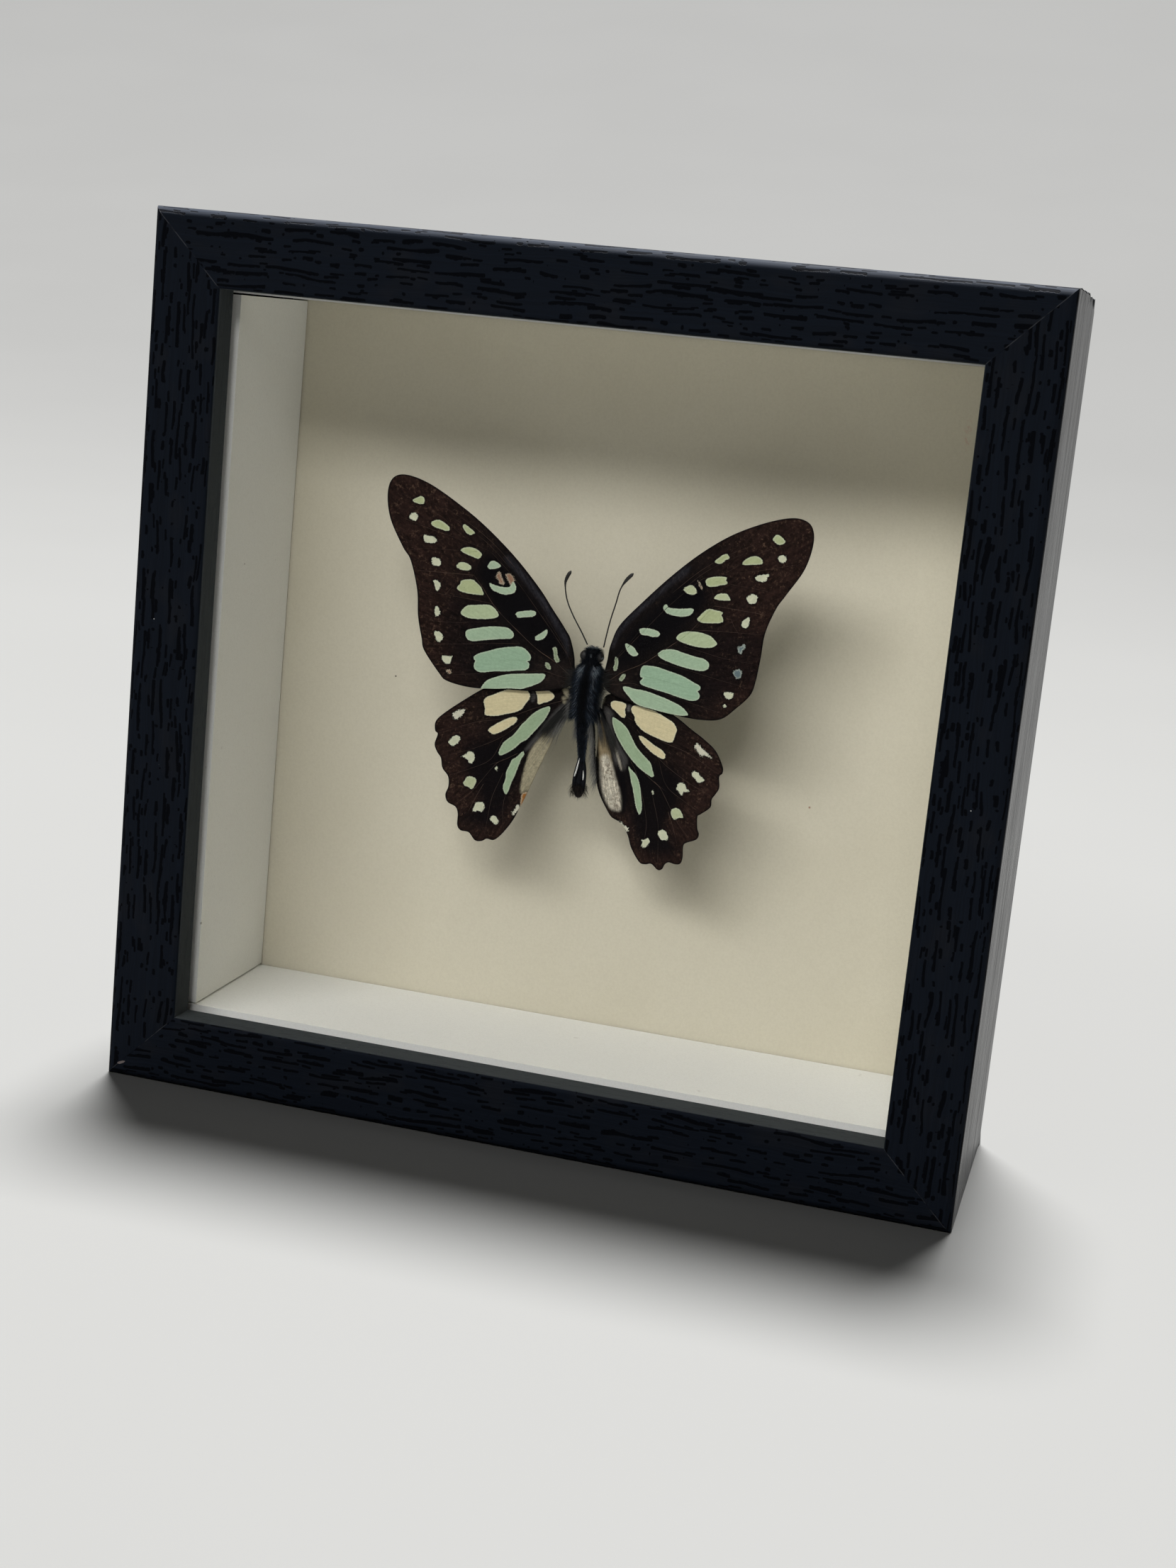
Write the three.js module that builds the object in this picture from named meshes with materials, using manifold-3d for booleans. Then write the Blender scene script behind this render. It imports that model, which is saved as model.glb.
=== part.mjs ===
// A dried swallowtail butterfly pinned inside a deep, square, glazed frame.
//
// Everything is drawn in the front view of the frame: x runs to the right and y up, both from the
// centre of the glass, and z runs out of the frame towards the viewer, from 0 at its front face.
// The group turns that view upright: +Z up, the front facing -Y, the origin under the middle of the
// bottom rail. Lengths are millimetres.

import * as THREE from "three";
import { mergeVertices } from "three/addons/utils/BufferGeometryUtils.js";
import Module from "manifold-3d";

const wasm = await Module();
wasm.setup();

// Frame
const SIDE = 150; // outer width and height
const DEPTH = 47; // front face to back face
const RAIL_FACE = 12.5; // width of a rail, seen from the front
const LIP_DEPTH = 5.5; // thickness of the lip in front of the glass
const LIP_REACH = 3; // how far the lip covers the glass
const OUTER_EASE = 1.6; // radius on the outer front edge
const INNER_EASE = 0.8; // radius on the lip's front edge
const EASE_STEPS = 4;
const GAP = 0.3; // clearance between neighbouring pieces
const HOLE_STEPS = 6; // how finely a round hole is drawn

// What the frame holds, from the front to the back
const GLASS = 2;
const SPACER = 3; // thickness of a spacer strip
const CARD_FACE = -37.5; // front face of the backing card
const CARD = 1.5;
const BOARD = 3;

// Bent tabs that hold the back in
const TAB = {
  width: 8, sheet: 0.5, place: 35, // place: distance from the middle of the rail
  tail: 4, bend: 4, reach: 9, // into the rail, out to the bend, and out to the tip
};

// Sawtooth hanger
const HANGER = {
  length: 44, height: 7, sheet: 0.8, corner: 1, // the strip
  rise: 1.4, flat: 14, ramp: 17, // its raised middle, by distance from the centre
  teeth: 9, tooth: 1.6, tip: 0.1, // depth of a tooth, and its tip as a share of the pitch
};
const HANGER_PLACE = 46; // height of the hanger above the centre of the back
const NAIL = {
  place: 19, length: 2.4, sides: 14,
  shank: 0.6, head: 1.7, shoulder: 1.4, // radii
  rim: 0.5, dome: 0.7, // heights of the shoulder and of the crown above the head's underside
};

// Specimen
const WING = {
  surface: -24, root: 2, slope: 0.2, // the front surface at the root, and its rise per millimetre outwards
  sheet: 0.3, hindDrop: 0.7, // the hindwings lie this far behind the forewings
};
const BODY = { x: 0.1, z: -23.8, segments: 16 };
const PIN = { radius: 0.3, tip: -25.2, place: 1.5, sides: 12 };
const ANTENNA = { radius: 0.16, clubRadius: 0.28, clubLength: 2.4, sides: 8, steps: 26 };

const half = SIDE / 2;
const opening = half - RAIL_FACE;
const rebate = opening + LIP_REACH;
const inside = rebate - GAP;
const glassFront = -LIP_DEPTH - GAP;
const spacerFront = glassFront - GLASS - GAP;
const boardFace = CARD_FACE - CARD - GAP;
const boardBack = boardFace - BOARD;

// Wing outlines: distance out from the body, then height. Each list runs from the root along the
// leading edge to the tip and back along the margin.
const FOREWING_LEFT = [
  [2.9, 5.6], [3.9, 9.3], [5, 11.1], [7.5, 14.4], [10, 17.7], [15, 23], [20, 27.3], [25, 30.8],
  [30, 33.6], [34, 34.7], [36.2, 33.9], [36.9, 31.2], [36.1, 27], [33.6, 22.4], [32.1, 20.2],
  [30.6, 15.2], [30.1, 10.8], [29.2, 7], [28.6, 4.9], [25.8, 1.3], [24.2, 0], [20, -0.7],
  [15, -0.4], [8, 0], [3.2, 1.6],
];
const FOREWING_RIGHT = [
  [2.9, 7.3], [3.3, 10], [4.5, 13.1], [8, 17.3], [12.5, 22.2], [17.5, 26.9], [22.5, 30.6],
  [27.5, 33.2], [32, 34.8], [34.8, 35], [36.6, 33.9], [37.1, 31.2], [36.1, 26.9], [33.5, 22.4],
  [32, 19.8], [30.6, 15.6], [30.3, 11.5], [29.9, 7.4], [29.2, 4.9], [27, 2.3], [24.4, 0],
  [20.5, -0.7], [15.2, -0.6], [9.4, -0.1], [3, 1.8],
];
const HINDWING_LEFT = [
  [2.8, -2.5], [3, 0.4], [6, 1.2], [11, 1.2], [16, 0.2], [18.2, -0.8], [21.3, -3.1], [24.5, -5.8],
  [25.8, -7.4], [25.8, -9], [25.3, -9.6], [25.7, -11.4], [25.2, -12.7], [24.4, -13.8],
  [24, -15.5], [22.9, -16.9], [22.7, -18.6], [23.1, -20.2], [22.6, -21.5], [21.2, -22.2],
  [20.7, -23.4], [20.6, -25.4], [19.9, -26.3], [18.5, -26.5], [17.3, -27.8], [16.1, -27.8],
  [15.3, -27.3], [14.1, -27.4], [12.9, -26.3], [11.3, -23.9], [10.2, -21.4], [9, -18.2],
  [7.4, -13.6], [5.6, -8.8], [4.2, -5.6],
];
const HINDWING_RIGHT = [
  [2.5, -3.5], [2.9, 0.3], [6, 1.2], [11, 1], [16, -0.9], [19.1, -2.6], [21.8, -4], [24.1, -5.6],
  [25.6, -8], [25.7, -9.2], [25.2, -9.9], [25.4, -11.8], [24.8, -13.1], [24.3, -14],
  [24.2, -15.4], [22.6, -16.9], [22.1, -17.4], [22.3, -19.4], [22.7, -20.4], [22.3, -21.4],
  [20.6, -22.3], [20.1, -23], [20.2, -25], [19.9, -26.1], [19, -26.4], [17.8, -26.3],
  [17.1, -26.8], [16.7, -27.7], [15.9, -28], [14.6, -27.2], [13.5, -27.5], [12.3, -27.3],
  [10.6, -25.1], [9.6, -22.8], [7.8, -21], [5.8, -20], [3.9, -17.3], [2.8, -14.2], [2.3, -10],
];

// Body: radius, then height, from the tip of the abdomen to the top of the head.
const BODY_PROFILE = [
  [0, -18.2], [0.6, -17.9], [1.2, -16.8], [1.2, -15.6], [1, -14], [0.95, -12], [0.85, -10.4],
  [1.05, -8.6], [1.4, -6.4], [1.7, -4.4], [2, -2.8], [2.25, -0.8], [2.35, 1.6], [2.25, 3.6],
  [1.9, 5.2], [1.5, 5.9], [1.8, 6.6], [1.9, 7.4], [1.6, 8.2], [0.9, 8.7], [0, 8.8],
];

// Antennae: points from the head to the tip of the club.
const ANTENNA_LEFT = [
  [-0.7, 9.1, -22.9], [-1.9, 11.2, -22.6], [-3.6, 13.9, -22.3], [-4.8, 16.4, -22], [-5.3, 19, -21.7],
  [-5, 20.4, -21.5], [-4.4, 21.5, -21.4],
];
const ANTENNA_RIGHT = [
  [2.2, 9, -22.9], [2.6, 11.4, -22.6], [3.1, 14, -22.3], [3.8, 16.8, -22], [4.4, 19.3, -21.7],
  [5.3, 21, -21.5], [6.5, 22.4, -21.4],
];

const SIDES = ["bottom", "right", "top", "left"];

const frontView = new THREE.Group();
frontView.rotation.x = Math.PI / 2;
frontView.position.set(0, -DEPTH / 2, half);

const looks = {
  foil: { color: 0x161b22, roughness: 0.5, metalness: 0 },
  glass: { color: 0xf2f6f4, roughness: 0.05, metalness: 0, transparent: true, opacity: 0.12 },
  spacer: { color: 0xd2d3cc, roughness: 0.9, metalness: 0 },
  card: { color: 0xbfb69e, roughness: 0.95, metalness: 0 },
  board: { color: 0x6e4f35, roughness: 0.85, metalness: 0 },
  steel: { color: 0x9a9ca0, roughness: 0.4, metalness: 0.9 },
  wing: { color: 0x2b1f1b, roughness: 0.9, metalness: 0 },
  fur: { color: 0x23252b, roughness: 1, metalness: 0 },
  antenna: { color: 0x14110f, roughness: 0.5, metalness: 0 },
};

function addPiece(name, geometry, look) {
  const mesh = new THREE.Mesh(geometry, new THREE.MeshStandardMaterial(looks[look]));
  mesh.name = name;
  frontView.add(mesh);
  return mesh;
}

// The angle that turns a piece drawn on the top rail round to another side.
function turnTo(side) {
  return ((SIDES.indexOf(side) + 2) * Math.PI) / 2;
}

function polygon(points) {
  return new THREE.Shape(points.map(([x, y]) => new THREE.Vector2(x, y)));
}

// A profile of radius and height, turned about the y axis.
function lathe(profile, segments) {
  return new THREE.LatheGeometry(profile.map(([r, y]) => new THREE.Vector2(r, y)), segments);
}

// An outline pushed from the plane z = back to the plane z = back + thickness.
function sheet(shape, thickness, back, curveSegments = 12) {
  const geometry = new THREE.ExtrudeGeometry(shape, { depth: thickness, bevelEnabled: false, curveSegments });
  return geometry.translate(0, 0, back);
}

// A profile in distance from the frame's centre and z, run along the top side from -length/2 to length/2.
function alongTop(shape, length) {
  const geometry = sheet(shape, length, -length / 2, EASE_STEPS);
  const place = geometry.attributes.position;
  for (let i = 0; i < place.count; i += 1) {
    place.setXYZ(i, place.getZ(i), place.getX(i), place.getY(i));
  }
  return geometry;
}

function toManifold(geometry) {
  const bare = geometry.clone();
  bare.deleteAttribute("normal");
  bare.deleteAttribute("uv");
  const merged = mergeVertices(bare);
  const vertProperties = new Float32Array(merged.attributes.position.array);
  const triVerts = new Uint32Array(merged.index.array);
  return new wasm.Manifold(new wasm.Mesh({ numProp: 3, vertProperties, triVerts }));
}

function toGeometry(solid) {
  const mesh = solid.getMesh();
  const geometry = new THREE.BufferGeometry();
  geometry.setAttribute("position", new THREE.BufferAttribute(new Float32Array(mesh.vertProperties), 3));
  geometry.setIndex(new THREE.BufferAttribute(new Uint32Array(mesh.triVerts), 1));
  geometry.computeVertexNormals();
  return geometry;
}

function cut(geometry, tools) {
  const cutAway = (solid, tool) => solid.subtract(toManifold(tool));
  return toGeometry(tools.reduce(cutAway, toManifold(geometry)));
}

// Rail: an L-shaped section with eased front edges, mitred at both ends.
function railProfile() {
  const shape = new THREE.Shape();
  shape.moveTo(rebate, -DEPTH);
  shape.lineTo(half, -DEPTH);
  shape.lineTo(half, -OUTER_EASE);
  shape.absarc(half - OUTER_EASE, -OUTER_EASE, OUTER_EASE, 0, Math.PI / 2, false);
  shape.lineTo(opening + INNER_EASE, 0);
  shape.absarc(opening + INNER_EASE, -INNER_EASE, INNER_EASE, Math.PI / 2, Math.PI, false);
  shape.lineTo(opening, -LIP_DEPTH);
  shape.lineTo(rebate, -LIP_DEPTH);
  shape.closePath();
  return shape;
}

function mitre(geometry) {
  const place = geometry.attributes.position;
  for (let i = 0; i < place.count; i += 1) {
    place.setX(i, Math.sign(place.getX(i)) * (place.getY(i) - GAP / 2));
  }
  return geometry;
}

// The slot that a tab's tail is driven into, in the rebate of the top rail.
function tabSlot(x) {
  const depth = 2 * (TAB.tail + GAP); // centred on the rebate's wall, so half of it is in the rail
  const box = new THREE.BoxGeometry(TAB.width + 2 * GAP, depth, TAB.sheet + 2 * GAP);
  return box.translate(x, rebate, tabZ() + TAB.sheet / 2);
}

// The back plane of a tab before its bend. The bent end reaches down to the board.
function tabZ() {
  return boardBack - GAP - 2 * TAB.sheet;
}

function makeRail() {
  const slots = [-TAB.place, TAB.place].map(tabSlot);
  return cut(mitre(alongTop(railProfile(), SIDE)), slots);
}

// Tab: a strip that leaves the rail flat and bends down onto the back board.
function makeTab() {
  const z = tabZ();
  const tail = rebate + TAB.tail;
  const bend = rebate - TAB.bend;
  const tip = rebate - TAB.reach;
  const profile = [
    [tail, z], [tail, z + TAB.sheet], [bend, z + TAB.sheet], [tip, z + 2 * TAB.sheet],
    [tip, z + TAB.sheet], [bend, z],
  ];
  return alongTop(polygon(profile), TAB.width);
}

function addRails() {
  const geometry = makeRail();
  for (const side of SIDES) {
    addPiece(`rail_${side}`, geometry.clone(), "foil").rotation.z = turnTo(side);
  }
}

function addTabs() {
  for (const side of SIDES) {
    for (const [number, x] of [[1, -TAB.place], [2, TAB.place]]) {
      const tab = makeTab().translate(x, 0, 0);
      addPiece(`tab_${side}_${number}`, tab, "steel").rotation.z = turnTo(side);
    }
  }
}

function square(reach) {
  return [[-reach, -reach], [reach, -reach], [reach, reach], [-reach, reach]];
}

function addGlass() {
  addPiece("glass_pane", sheet(polygon(square(inside)), GLASS, glassFront - GLASS), "glass");
}

// The top and bottom strips run the full width, and the side strips stand between them.
function addSpacers() {
  const depth = spacerFront - (CARD_FACE + GAP);
  const lengths = { top: 2 * inside, bottom: 2 * inside };
  const between = 2 * (inside - SPACER - GAP);
  for (const side of SIDES) {
    const strip = new THREE.BoxGeometry(lengths[side] ?? between, SPACER, depth);
    strip.translate(0, inside - SPACER / 2, spacerFront - depth / 2);
    addPiece(`spacer_${side}`, strip, "spacer").rotation.z = turnTo(side);
  }
}

function holeAt(x, y, radius) {
  return new THREE.Path().absarc(x, y, radius, 0, 2 * Math.PI, true);
}

function addCardAndBoard() {
  const card = polygon(square(inside));
  card.holes.push(holeAt(BODY.x, PIN.place, PIN.radius + GAP));
  addPiece("backing_card", sheet(card, CARD, CARD_FACE - CARD, HOLE_STEPS), "card");

  const board = polygon(square(inside));
  for (const side of [-1, 1]) {
    board.holes.push(holeAt(side * NAIL.place, HANGER_PLACE, NAIL.shank + GAP));
  }
  addPiece("back_board", sheet(board, BOARD, boardBack, HOLE_STEPS), "board");
}

// Hanger: a strip with a raised, toothed middle, held by a nail at each end.
function hangerOutline() {
  const { flat, ramp, corner } = HANGER;
  const end = HANGER.length / 2;
  const low = HANGER_PLACE - HANGER.height / 2;
  const high = HANGER_PLACE + HANGER.height / 2;
  const points = [[-end, low + corner], [-end + corner, low], [-ramp, low], [-flat, low]];
  const pitch = (2 * flat) / HANGER.teeth;
  const root = low + HANGER.tooth;
  const side = HANGER.tip * pitch;
  for (let i = 0; i < HANGER.teeth; i += 1) {
    const start = -flat + i * pitch;
    points.push([start + side, root], [start + pitch - side, root], [start + pitch, low]);
  }
  points.push([ramp, low], [end - corner, low], [end, low + corner], [end, high - corner]);
  points.push([end - corner, high], [ramp, high], [flat, high], [-flat, high], [-ramp, high]);
  points.push([-end + corner, high], [-end, high - corner]);
  return polygon(points);
}

function raiseMiddle(geometry) {
  const place = geometry.attributes.position;
  for (let i = 0; i < place.count; i += 1) {
    const x = Math.abs(place.getX(i));
    const lift = THREE.MathUtils.clamp((HANGER.ramp - x) / (HANGER.ramp - HANGER.flat), 0, 1);
    place.setZ(i, place.getZ(i) - lift * HANGER.rise);
  }
  return geometry;
}

function addHanger() {
  const shape = hangerOutline();
  for (const side of [-1, 1]) {
    shape.holes.push(holeAt(side * NAIL.place, HANGER_PLACE, NAIL.shank + GAP));
  }
  const back = boardBack - GAP - HANGER.sheet;
  addPiece("hanger_plate", raiseMiddle(sheet(shape, HANGER.sheet, back, HOLE_STEPS)), "steel");

  for (const [number, side] of [[1, -1], [2, 1]]) {
    const nail = makeNail().translate(side * NAIL.place, HANGER_PLACE, back - GAP + NAIL.length);
    addPiece(`hanger_nail_${number}`, nail, "steel");
  }
}

// Nail: a shank and a domed head, pointing into the back from z = 0.
function makeNail() {
  const { shank, head, shoulder, rim, dome, length, sides } = NAIL;
  const profile = [
    [0, 0], [shank, 0], [shank, length], [head, length], [shoulder, length + rim], [0, length + dome],
  ];
  return lathe(profile, sides).rotateX(-Math.PI / 2);
}

// Wing: a thin sheet whose outline is a smooth curve, rising outwards from the body.
function makeWing(outline, side, drop, curveSegments) {
  const points = outline.map(([out, up]) => new THREE.Vector2(side * out, up));
  const shape = new THREE.Shape();
  shape.moveTo(points[0].x, points[0].y);
  shape.splineThru([...points.slice(1), points[0]]);
  const geometry = sheet(shape, WING.sheet, WING.surface - drop - WING.sheet, curveSegments);
  const place = geometry.attributes.position;
  for (let i = 0; i < place.count; i += 1) {
    const out = Math.abs(place.getX(i)) - WING.root;
    place.setZ(i, place.getZ(i) + WING.slope * out);
  }
  return geometry;
}

function addWings() {
  addPiece("forewing_left", makeWing(FOREWING_LEFT, -1, 0, 2), "wing");
  addPiece("forewing_right", makeWing(FOREWING_RIGHT, 1, 0, 2), "wing");
  addPiece("hindwing_left", makeWing(HINDWING_LEFT, -1, WING.hindDrop, 2), "wing");
  addPiece("hindwing_right", makeWing(HINDWING_RIGHT, 1, WING.hindDrop, 2), "wing");
}

// Body: head, thorax and abdomen in one, with a hole in the back of the thorax for the pin.
function addBody() {
  const body = lathe(BODY_PROFILE, BODY.segments).translate(BODY.x, 0, BODY.z);
  const hole = pinRod(PIN.radius + GAP, CARD_FACE, PIN.tip + GAP);
  addPiece("butterfly_body", cut(body, [hole]), "fur");
}

// A round rod on the pin's axis, from one z to another.
function pinRod(radius, from, to) {
  const rod = new THREE.CylinderGeometry(radius, radius, to - from, PIN.sides).rotateX(Math.PI / 2);
  return rod.translate(BODY.x, PIN.place, (from + to) / 2);
}

function addPin() {
  addPiece("mounting_pin", pinRod(PIN.radius, boardFace + GAP, PIN.tip), "steel");
}

// Antenna: a thin tube along a curve, joined to the long club at its end.
function makeAntenna(points) {
  const path = new THREE.CatmullRomCurve3(points.map((point) => new THREE.Vector3(...point)));
  const section = polygon(circle(ANTENNA.radius, ANTENNA.sides));
  const route = { steps: ANTENNA.steps, extrudePath: path, bevelEnabled: false };
  const tube = new THREE.ExtrudeGeometry(section, route);
  const club = new THREE.SphereGeometry(ANTENNA.clubRadius, ANTENNA.sides, ANTENNA.sides);
  club.scale(1, ANTENNA.clubLength / 2 / ANTENNA.clubRadius, 1);
  const tangent = path.getTangent(1);
  club.applyQuaternion(new THREE.Quaternion().setFromUnitVectors(new THREE.Vector3(0, 1, 0), tangent));
  const centre = path.getPoint(1).addScaledVector(tangent, -ANTENNA.clubLength / 4);
  club.translate(centre.x, centre.y, centre.z);
  return toGeometry(toManifold(tube).add(toManifold(club)));
}

function circle(radius, sides) {
  const corner = (_, i) => {
    const angle = (2 * Math.PI * i) / sides;
    return [radius * Math.cos(angle), radius * Math.sin(angle)];
  };
  return Array.from({ length: sides }, corner);
}

function addAntennae() {
  addPiece("antenna_left", makeAntenna(ANTENNA_LEFT), "antenna");
  addPiece("antenna_right", makeAntenna(ANTENNA_RIGHT), "antenna");
}

addRails();
addGlass();
addSpacers();
addCardAndBoard();
addTabs();
addHanger();
addWings();
addBody();
addPin();
addAntennae();

const specimen = new THREE.Group();
specimen.add(frontView);

export default specimen;
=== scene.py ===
"""Surfaces of a dried butterfly in a deep glazed frame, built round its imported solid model."""

import math
from collections import namedtuple

import bmesh
import bpy
import numpy as np
from bpy.props import FloatProperty, FloatVectorProperty, IntProperty, PointerProperty
from mathutils import Matrix, Quaternion, Vector


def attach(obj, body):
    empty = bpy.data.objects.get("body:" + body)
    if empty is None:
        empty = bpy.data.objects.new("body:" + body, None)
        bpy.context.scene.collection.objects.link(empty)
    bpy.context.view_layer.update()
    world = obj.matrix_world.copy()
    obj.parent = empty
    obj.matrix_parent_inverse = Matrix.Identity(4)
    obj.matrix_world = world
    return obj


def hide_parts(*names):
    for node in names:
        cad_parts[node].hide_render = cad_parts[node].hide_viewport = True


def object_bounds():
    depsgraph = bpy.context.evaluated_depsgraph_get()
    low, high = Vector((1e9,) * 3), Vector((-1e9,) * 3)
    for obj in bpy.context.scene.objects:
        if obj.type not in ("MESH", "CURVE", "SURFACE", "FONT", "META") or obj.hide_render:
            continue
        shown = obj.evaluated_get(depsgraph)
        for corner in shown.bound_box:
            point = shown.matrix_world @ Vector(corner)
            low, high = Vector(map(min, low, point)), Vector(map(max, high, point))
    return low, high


bl_info = {
    "name": "Framed Butterfly",
    "version": (1, 0, 0),
    "blender": (4, 5, 0),
    "location": "View3D > Sidebar > Specimen",
    "description": "Builds the surfaces of a butterfly pinned in a deep glazed frame",
    "category": "Add Mesh",
}

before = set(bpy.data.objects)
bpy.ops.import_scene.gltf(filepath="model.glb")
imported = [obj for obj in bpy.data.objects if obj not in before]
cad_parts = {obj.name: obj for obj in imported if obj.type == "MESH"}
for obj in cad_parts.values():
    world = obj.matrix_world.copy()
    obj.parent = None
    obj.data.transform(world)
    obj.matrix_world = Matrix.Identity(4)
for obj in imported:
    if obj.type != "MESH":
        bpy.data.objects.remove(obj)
CAD_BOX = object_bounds()

# ------------------------------------------------------------------ places
# Every piece is drawn in the front view of the frame, in millimetres: x to the right and y up from
# the centre of the glass, and z towards the viewer from 0 at the frame's front face.

MM = 0.001
SIDE = (CAD_BOX[1].x - CAD_BOX[0].x) / MM
DEPTH = (CAD_BOX[1].y - CAD_BOX[0].y) / MM
HALF = SIDE / 2
UPRIGHT = Matrix.Rotation(math.pi / 2, 4, "X")
TO_WORLD = Matrix.Scale(MM, 4) @ Matrix.Translation((0, -DEPTH / 2, HALF)) @ UPRIGHT

RAIL_TURNS = {"top": 0, "left": 90, "bottom": 180, "right": 270}  # degrees from the top rail

# ------------------------------------------------------------------ the specimen's outlines
# Distance out from the body, then height.

FOREWING_LEFT = [
    (2.9, 5.6), (3.9, 9.3), (5, 11.1), (7.5, 14.4), (10, 17.7), (15, 23), (20, 27.3), (25, 30.8),
    (30, 33.6), (34, 34.7), (36.2, 33.9), (36.9, 31.2), (36.1, 27), (33.6, 22.4), (32.1, 20.2),
    (30.6, 15.2), (30.1, 10.8), (29.2, 7), (28.6, 4.9), (25.8, 1.3), (24.2, 0), (20, -0.7),
    (15, -0.4), (8, 0), (3.2, 1.6),
]
FOREWING_RIGHT = [
    (2.9, 7.3), (3.3, 10), (4.5, 13.1), (8, 17.3), (12.5, 22.2), (17.5, 26.9), (22.5, 30.6),
    (27.5, 33.2), (32, 34.8), (34.8, 35), (36.6, 33.9), (37.1, 31.2), (36.1, 26.9), (33.5, 22.4),
    (32, 19.8), (30.6, 15.6), (30.3, 11.5), (29.9, 7.4), (29.2, 4.9), (27, 2.3), (24.4, 0),
    (20.5, -0.7), (15.2, -0.6), (9.4, -0.1), (3, 1.8),
]
HINDWING_LEFT = [
    (2.8, -2.5), (3, 0.4), (6, 1.2), (11, 1.2), (16, 0.2), (18.2, -0.8), (21.3, -3.1), (24.5, -5.8),
    (25.8, -7.4), (25.8, -9), (25.3, -9.6), (25.7, -11.4), (25.2, -12.7), (24.4, -13.8),
    (24, -15.5), (22.9, -16.9), (22.7, -18.6), (23.1, -20.2), (22.6, -21.5), (21.2, -22.2),
    (20.7, -23.4), (20.6, -25.4), (19.9, -26.3), (18.5, -26.5), (17.3, -27.8), (16.1, -27.8),
    (15.3, -27.3), (14.1, -27.4), (12.9, -26.3), (11.3, -23.9), (10.2, -21.4), (9, -18.2),
    (7.4, -13.6), (5.6, -8.8), (4.2, -5.6),
]
HINDWING_RIGHT = [
    (2.5, -3.5), (2.9, 0.3), (6, 1.2), (11, 1), (16, -0.9), (19.1, -2.6), (21.8, -4), (24.1, -5.6),
    (25.6, -8), (25.7, -9.2), (25.2, -9.9), (25.4, -11.8), (24.8, -13.1), (24.3, -14),
    (24.2, -15.4), (22.6, -16.9), (22.1, -17.4), (22.3, -19.4), (22.7, -20.4), (22.3, -21.4),
    (20.6, -22.3), (20.1, -23), (20.2, -25), (19.9, -26.1), (19, -26.4), (17.8, -26.3),
    (17.1, -26.8), (16.7, -27.7), (15.9, -28), (14.6, -27.2), (13.5, -27.5), (12.3, -27.3),
    (10.6, -25.1), (9.6, -22.8), (7.8, -21), (5.8, -20), (3.9, -17.3), (2.8, -14.2), (2.3, -10),
]

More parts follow.
